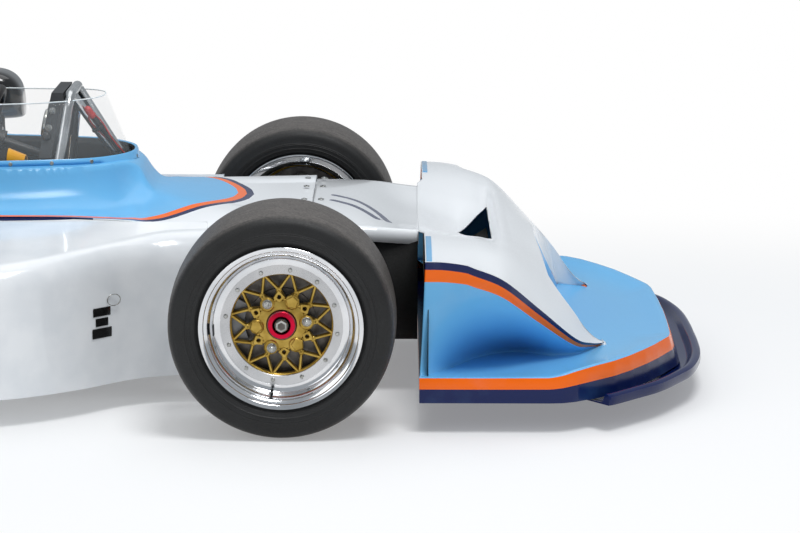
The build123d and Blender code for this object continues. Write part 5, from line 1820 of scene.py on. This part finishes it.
@dataclass
class Engine:
    """Dress on the engine: cam covers with their nuts, flared trumpets, plug leads."""

    front: float = FRONT_X - 1.335
    rear: float = FRONT_X - 1.86
    bore_step: float = 0.125
    port: tuple = (0, -0.94, 0.34)

    def cylinder(self, number: int) -> float:
        """Place along the car of a cylinder's middle, counted from the rear."""
        return self.rear + 0.075 + self.bore_step * number

    def covers(self) -> None:
        """Black cam covers with cross ribs, each held by six nuts."""
        shape, nuts = Sculpt(), Sculpt()
        x = np.linspace(self.rear - 0.003, self.front - 0.02, 150)[:, None]
        angle = np.linspace(0, np.pi, 28)[None, :]
        rib = 0.0018 * (np.cos((x - self.rear) * 2 * np.pi / 0.021) > 0.2)
        end = np.clip(np.minimum(x - x[0], x[-1] - x) / 0.012, 0, 1) ** 0.5
        c, s = np.cos(angle), np.sin(angle)
        y = 0.068 + (0.0435 + rib) * np.sign(c) * np.abs(c) ** 0.45
        z = 0.552 + ((0.0275 + rib) * (0.55 + 0.45 * end)) * s ** 0.45
        top = np.stack((x + 0 * y, y, z), axis=-1)
        shape.grid(top).grid(top[:, ::27] * (1, 1, 0) + (0, 0, 0.552))
        shape.fan(top[0]).fan(top[-1])
        for spot in np.linspace(self.rear + 0.04, self.front - 0.06, 6):
            nuts.bolt((spot, 0.068, 0.5805), (0, 0, 1), 0.01, 0.006)
        shape.make("cam_covers", CAM_COVER, smooth=35, mirrored=True)
        nuts.make("cam_cover_nuts", STEEL, smooth=30, mirrored=True)

    def trumpets(self) -> None:
        """Inlet trumpets: a wall of revolution that flares to a rolled lip."""
        shape = Sculpt()
        profile = ((0.0265, 0.0), (0.0265, 0.078), (0.0285, 0.098), (0.033, 0.116),
            (0.0385, 0.129), (0.0412, 0.134), (0.0405, 0.1365), (0.0375, 0.133), (0.0315, 0.118),
            (0.0265, 0.1), (0.024, 0.078), (0.0225, 0.01))
        for spot in range(4):
            x = self.cylinder(spot)
            shape.lathe(profile, (x, -0.131, 0.504), self.port, 44, closed=False)
            shape.disc((x, -0.137, 0.5062), self.port, 0.022, 0.004, 0, 30)
            shape.disc((x, -0.128, 0.503), self.port, 0.036, 0.01, 0.002, 36)
            shape.tube(((x, -0.152, 0.544), (x, -0.156, 0.53)), 0.006, 12)
        rail = np.array(((self.rear + 0.047, -0.152, 0.548), (self.front - 0.047, -0.152, 0.548)))
        shape.tube(np.linspace(rail[0], rail[1], 5), 0.008, 20)
        shape.make("inlet_trumpet_set", TRUMPET, smooth=40, replaces=("inlet_trumpets",))

    def leads(self) -> None:
        """Four plug leads between the cam covers, held down in the valley."""
        shape = Sculpt()
        for spot in range(4):
            x = self.cylinder(spot)
            shape.tube(smooth_rows(((x, 0.0, 0.56), (x, 0.0, 0.588), (x - 0.02, 0.006, 0.6),
                (x - 0.05, 0.01 + 0.003 * spot, 0.592), (self.rear + 0.002, 0.012 + 0.004 * spot,
                0.59)), 30), 0.0034, 8)
        shape.make("plug_leads", RED_HOSE, smooth=60)

    def build(self) -> None:
        """Make the engine's pieces."""
        self.covers()
        self.trumpets()
        self.leads()


@dataclass
class Studio:
    """Camera at the photograph's angle, soft lamps, pale floor and white world."""

    eye: tuple = (FRONT_X + 0.2552, -7.7014, 1.6387)
    pitch: float = 0.1796
    yaw: float = 0.0005
    roll: float = 0.0027
    lens: float = 145.16

    def camera(self) -> None:
        """Place the camera: its three axes are written as columns of its matrix."""
        ahead = np.array((math.sin(self.yaw) * math.cos(self.pitch), math.cos(self.yaw)
            * math.cos(self.pitch), -math.sin(self.pitch)))
        right = np.array((math.cos(self.yaw), -math.sin(self.yaw), 0.0))
        up = np.cross(right, ahead)
        right, up = (right * math.cos(self.roll) + up * math.sin(self.roll),
            up * math.cos(self.roll) - right * math.sin(self.roll))
        data = bpy.data.cameras.new("camera")
        data.lens = self.lens
        data.sensor_width = 36.0
        data.clip_end = 60.0
        bpy.context.scene.camera = self.posed("camera", data, (right, up, -ahead, self.eye))

    @staticmethod
    def posed(name: str, data: bpy.types.ID, columns: tuple) -> bpy.types.Object:
        """Add a camera or lamp with its three axes and its place as matrix columns.

        Args:
            name: the object's name.
            data: its camera or lamp data.
            columns: three axes and the place.

        Returns:
            The object.
        """
        rig = link_object(name, data)
        rig.matrix_world = Matrix([[*row] for row in np.vstack((
            np.column_stack(columns), (0, 0, 0, 1)))])
        return rig

    def lamp(self, name: str, spot: tuple, aim: tuple, size: float, power: float) -> None:
        """Add one square soft box aimed at a point.

        Args:
            name: the lamp's name.
            spot: its place.
            aim: the point it faces.
            size: side of the box in metres.
            power: its power in watts.
        """
        data = bpy.data.lights.new(name, "AREA")
        data.shape = "SQUARE"
        data.size = size
        data.energy = power
        back = unit(np.array(spot) - np.array(aim))
        self.posed(name, data, (*across(back), back, spot))

    def world(self) -> None:
        """White to the camera, soft grey white to every other ray."""
        world = bpy.data.worlds.new("studio_white")
        bpy.context.scene.world = world
        tree = empty_tree(world)
        path = add_node(tree, "ShaderNodeLightPath")
        soft = add_node(tree, "ShaderNodeBackground", {"Color": linear("#DCE2E8"),
            "Strength": 0.52})
        plain = add_node(tree, "ShaderNodeBackground", {"Color": linear("#FFFFFF"),
            "Strength": 1.0})
        both = add_node(tree, "ShaderNodeMixShader", {
            0: path.outputs["Is Camera Ray"], 1: soft.outputs[0], 2: plain.outputs[0]})
        add_node(tree, "ShaderNodeOutputWorld", {"Surface": both.outputs[0]})

    def floor(self) -> None:
        """Pale floor under the wheels, lit by the same lamps."""
        spot = Sculpt().grid(np.array([[(-9, -9, 0), (-9, 9, 0)], [(9, -9, 0), (9, 9, 0)]],
            float))
        mesh = bpy.data.meshes.new("floor")
        mesh.from_pydata(spot.points[0].tolist(), [], spot.faces)
        piece = link_object("floor", mesh)
        mesh.materials.append(self.floor_paint())

    @staticmethod
    def floor_paint() -> bpy.types.Material:
        """Pale matt floor that fades to plain white away from the car.

        Returns:
            The material.
        """
        made = bpy.data.materials.new("pale_studio_floor")
        tree = empty_tree(made)
        place = add_node(tree, "ShaderNodeTexCoord").outputs["Object"]
        far = add_node(tree, "ShaderNodeVectorMath", {0: place, 1: (0.45, 1.0, 0.0)},
            operation="MULTIPLY")
        away = add_node(tree, "ShaderNodeVectorMath", {0: far.outputs[0]}, operation="LENGTH")
        share = add_node(tree, "ShaderNodeMapRange", {0: away.outputs["Value"], 1: 1.0, 2: 2.6,
            3: 0.25, 4: 1.0}, interpolation_type="SMOOTHSTEP")
        matt = add_node(tree, "ShaderNodeBsdfDiffuse", {"Color": linear("#F2F3F4")})
        glow = add_node(tree, "ShaderNodeEmission", {"Color": linear("#FFFFFF")})
        both = add_node(tree, "ShaderNodeMixShader", {
            0: share.outputs[0], 1: matt.outputs[0], 2: glow.outputs[0]})
        add_node(tree, "ShaderNodeOutputMaterial", {"Surface": both.outputs[0]})
        return made

    def build(self) -> None:
        """Set up the whole studio and the plain view transform."""
        self.camera()
        self.lamp("key", (2.4, -2.6, 6.2), (FRONT_X, -0.2, 0.3), 2.2, 225)
        self.lamp("fill", (-3.5, -4.5, 3.5), (0.2, -0.3, 0.4), 3.5, 60)
        self.lamp("over", (1.2, 1.5, 5.0), (FRONT_X, 0.0, 0.3), 4.0, 62)
        self.world()
        self.floor()
        view = bpy.context.scene.view_settings
        view.view_transform = "Standard"
        view.look = "None"


@dataclass
class PackedPieces:
    """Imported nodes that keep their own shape, each with its finish."""

    table: tuple = (("monocoque", SHEET), ("radiators", CORE), ("windscreen", ACRYLIC),
        ("front_hoop", TUBE), ("dash_panel", DARK_PANEL), ("main_roll_hoop", TUBE),
        ("seat", SEAT_SHELL), ("seat_pad", FABRIC), ("steering_wheel", LEATHER),
        ("steering_rack", CALIPER), ("track_rods", TUBE), ("front_wishbones", TUBE),
        ("front_dampers", SPRING), ("rear_dampers", SPRING), ("rear_links", TUBE),
        ("rear_uprights", MAGNESIUM), ("engine", CASTING), ("inlet_trumpets", TRUMPET),
        ("exhaust", HOT_STEEL), ("gearbox", MAGNESIUM), ("engine_cover", WHITE_PAINT),
        ("rear_wing", BLUE_PAINT), ("wing_end_plates", WHITE_PAINT), ("wing_pillar", SHEET),
        ("mirrors", BLACK_GLOSS), ("jack_bar", TUBE), ("front_upright_left", MAGNESIUM),
        ("front_upright_right", MAGNESIUM), ("front_caliper_left", CALIPER),
        ("front_caliper_right", CALIPER))

    def build(self) -> None:
        """Dress them all."""
        for node, finish in self.table:
            dress(node, finish)


def main() -> None:
    """Build every sub-assembly in order, then the studio."""
    logging.basicConfig(level=logging.INFO, format="%(name)s %(message)s")
    PackedPieces().build()
    Nose().build()
    BodyShell().build()
    Cockpit().build()
    Suspension().build()
    Engine().build()
    for name, side, x, y, tyre_r, tread, rim_half, depth in (("front_left", 1, FRONT_X, 0.69,
            0.252, 0.114, 0.14, 0.045), ("front_right", -1, FRONT_X, 0.69, 0.252, 0.114, 0.14,
            0.045), ("rear_left", 1, REAR_X, 0.7, 0.29, 0.166, 0.19, 0.15),
            ("rear_right", -1, REAR_X, 0.7, 0.29, 0.166, 0.19, 0.15)):
        Wheel(name, side, x, y, tyre_r, tread, rim_half, depth).build()
    Studio().build()


if __name__ == "__main__":
    main()
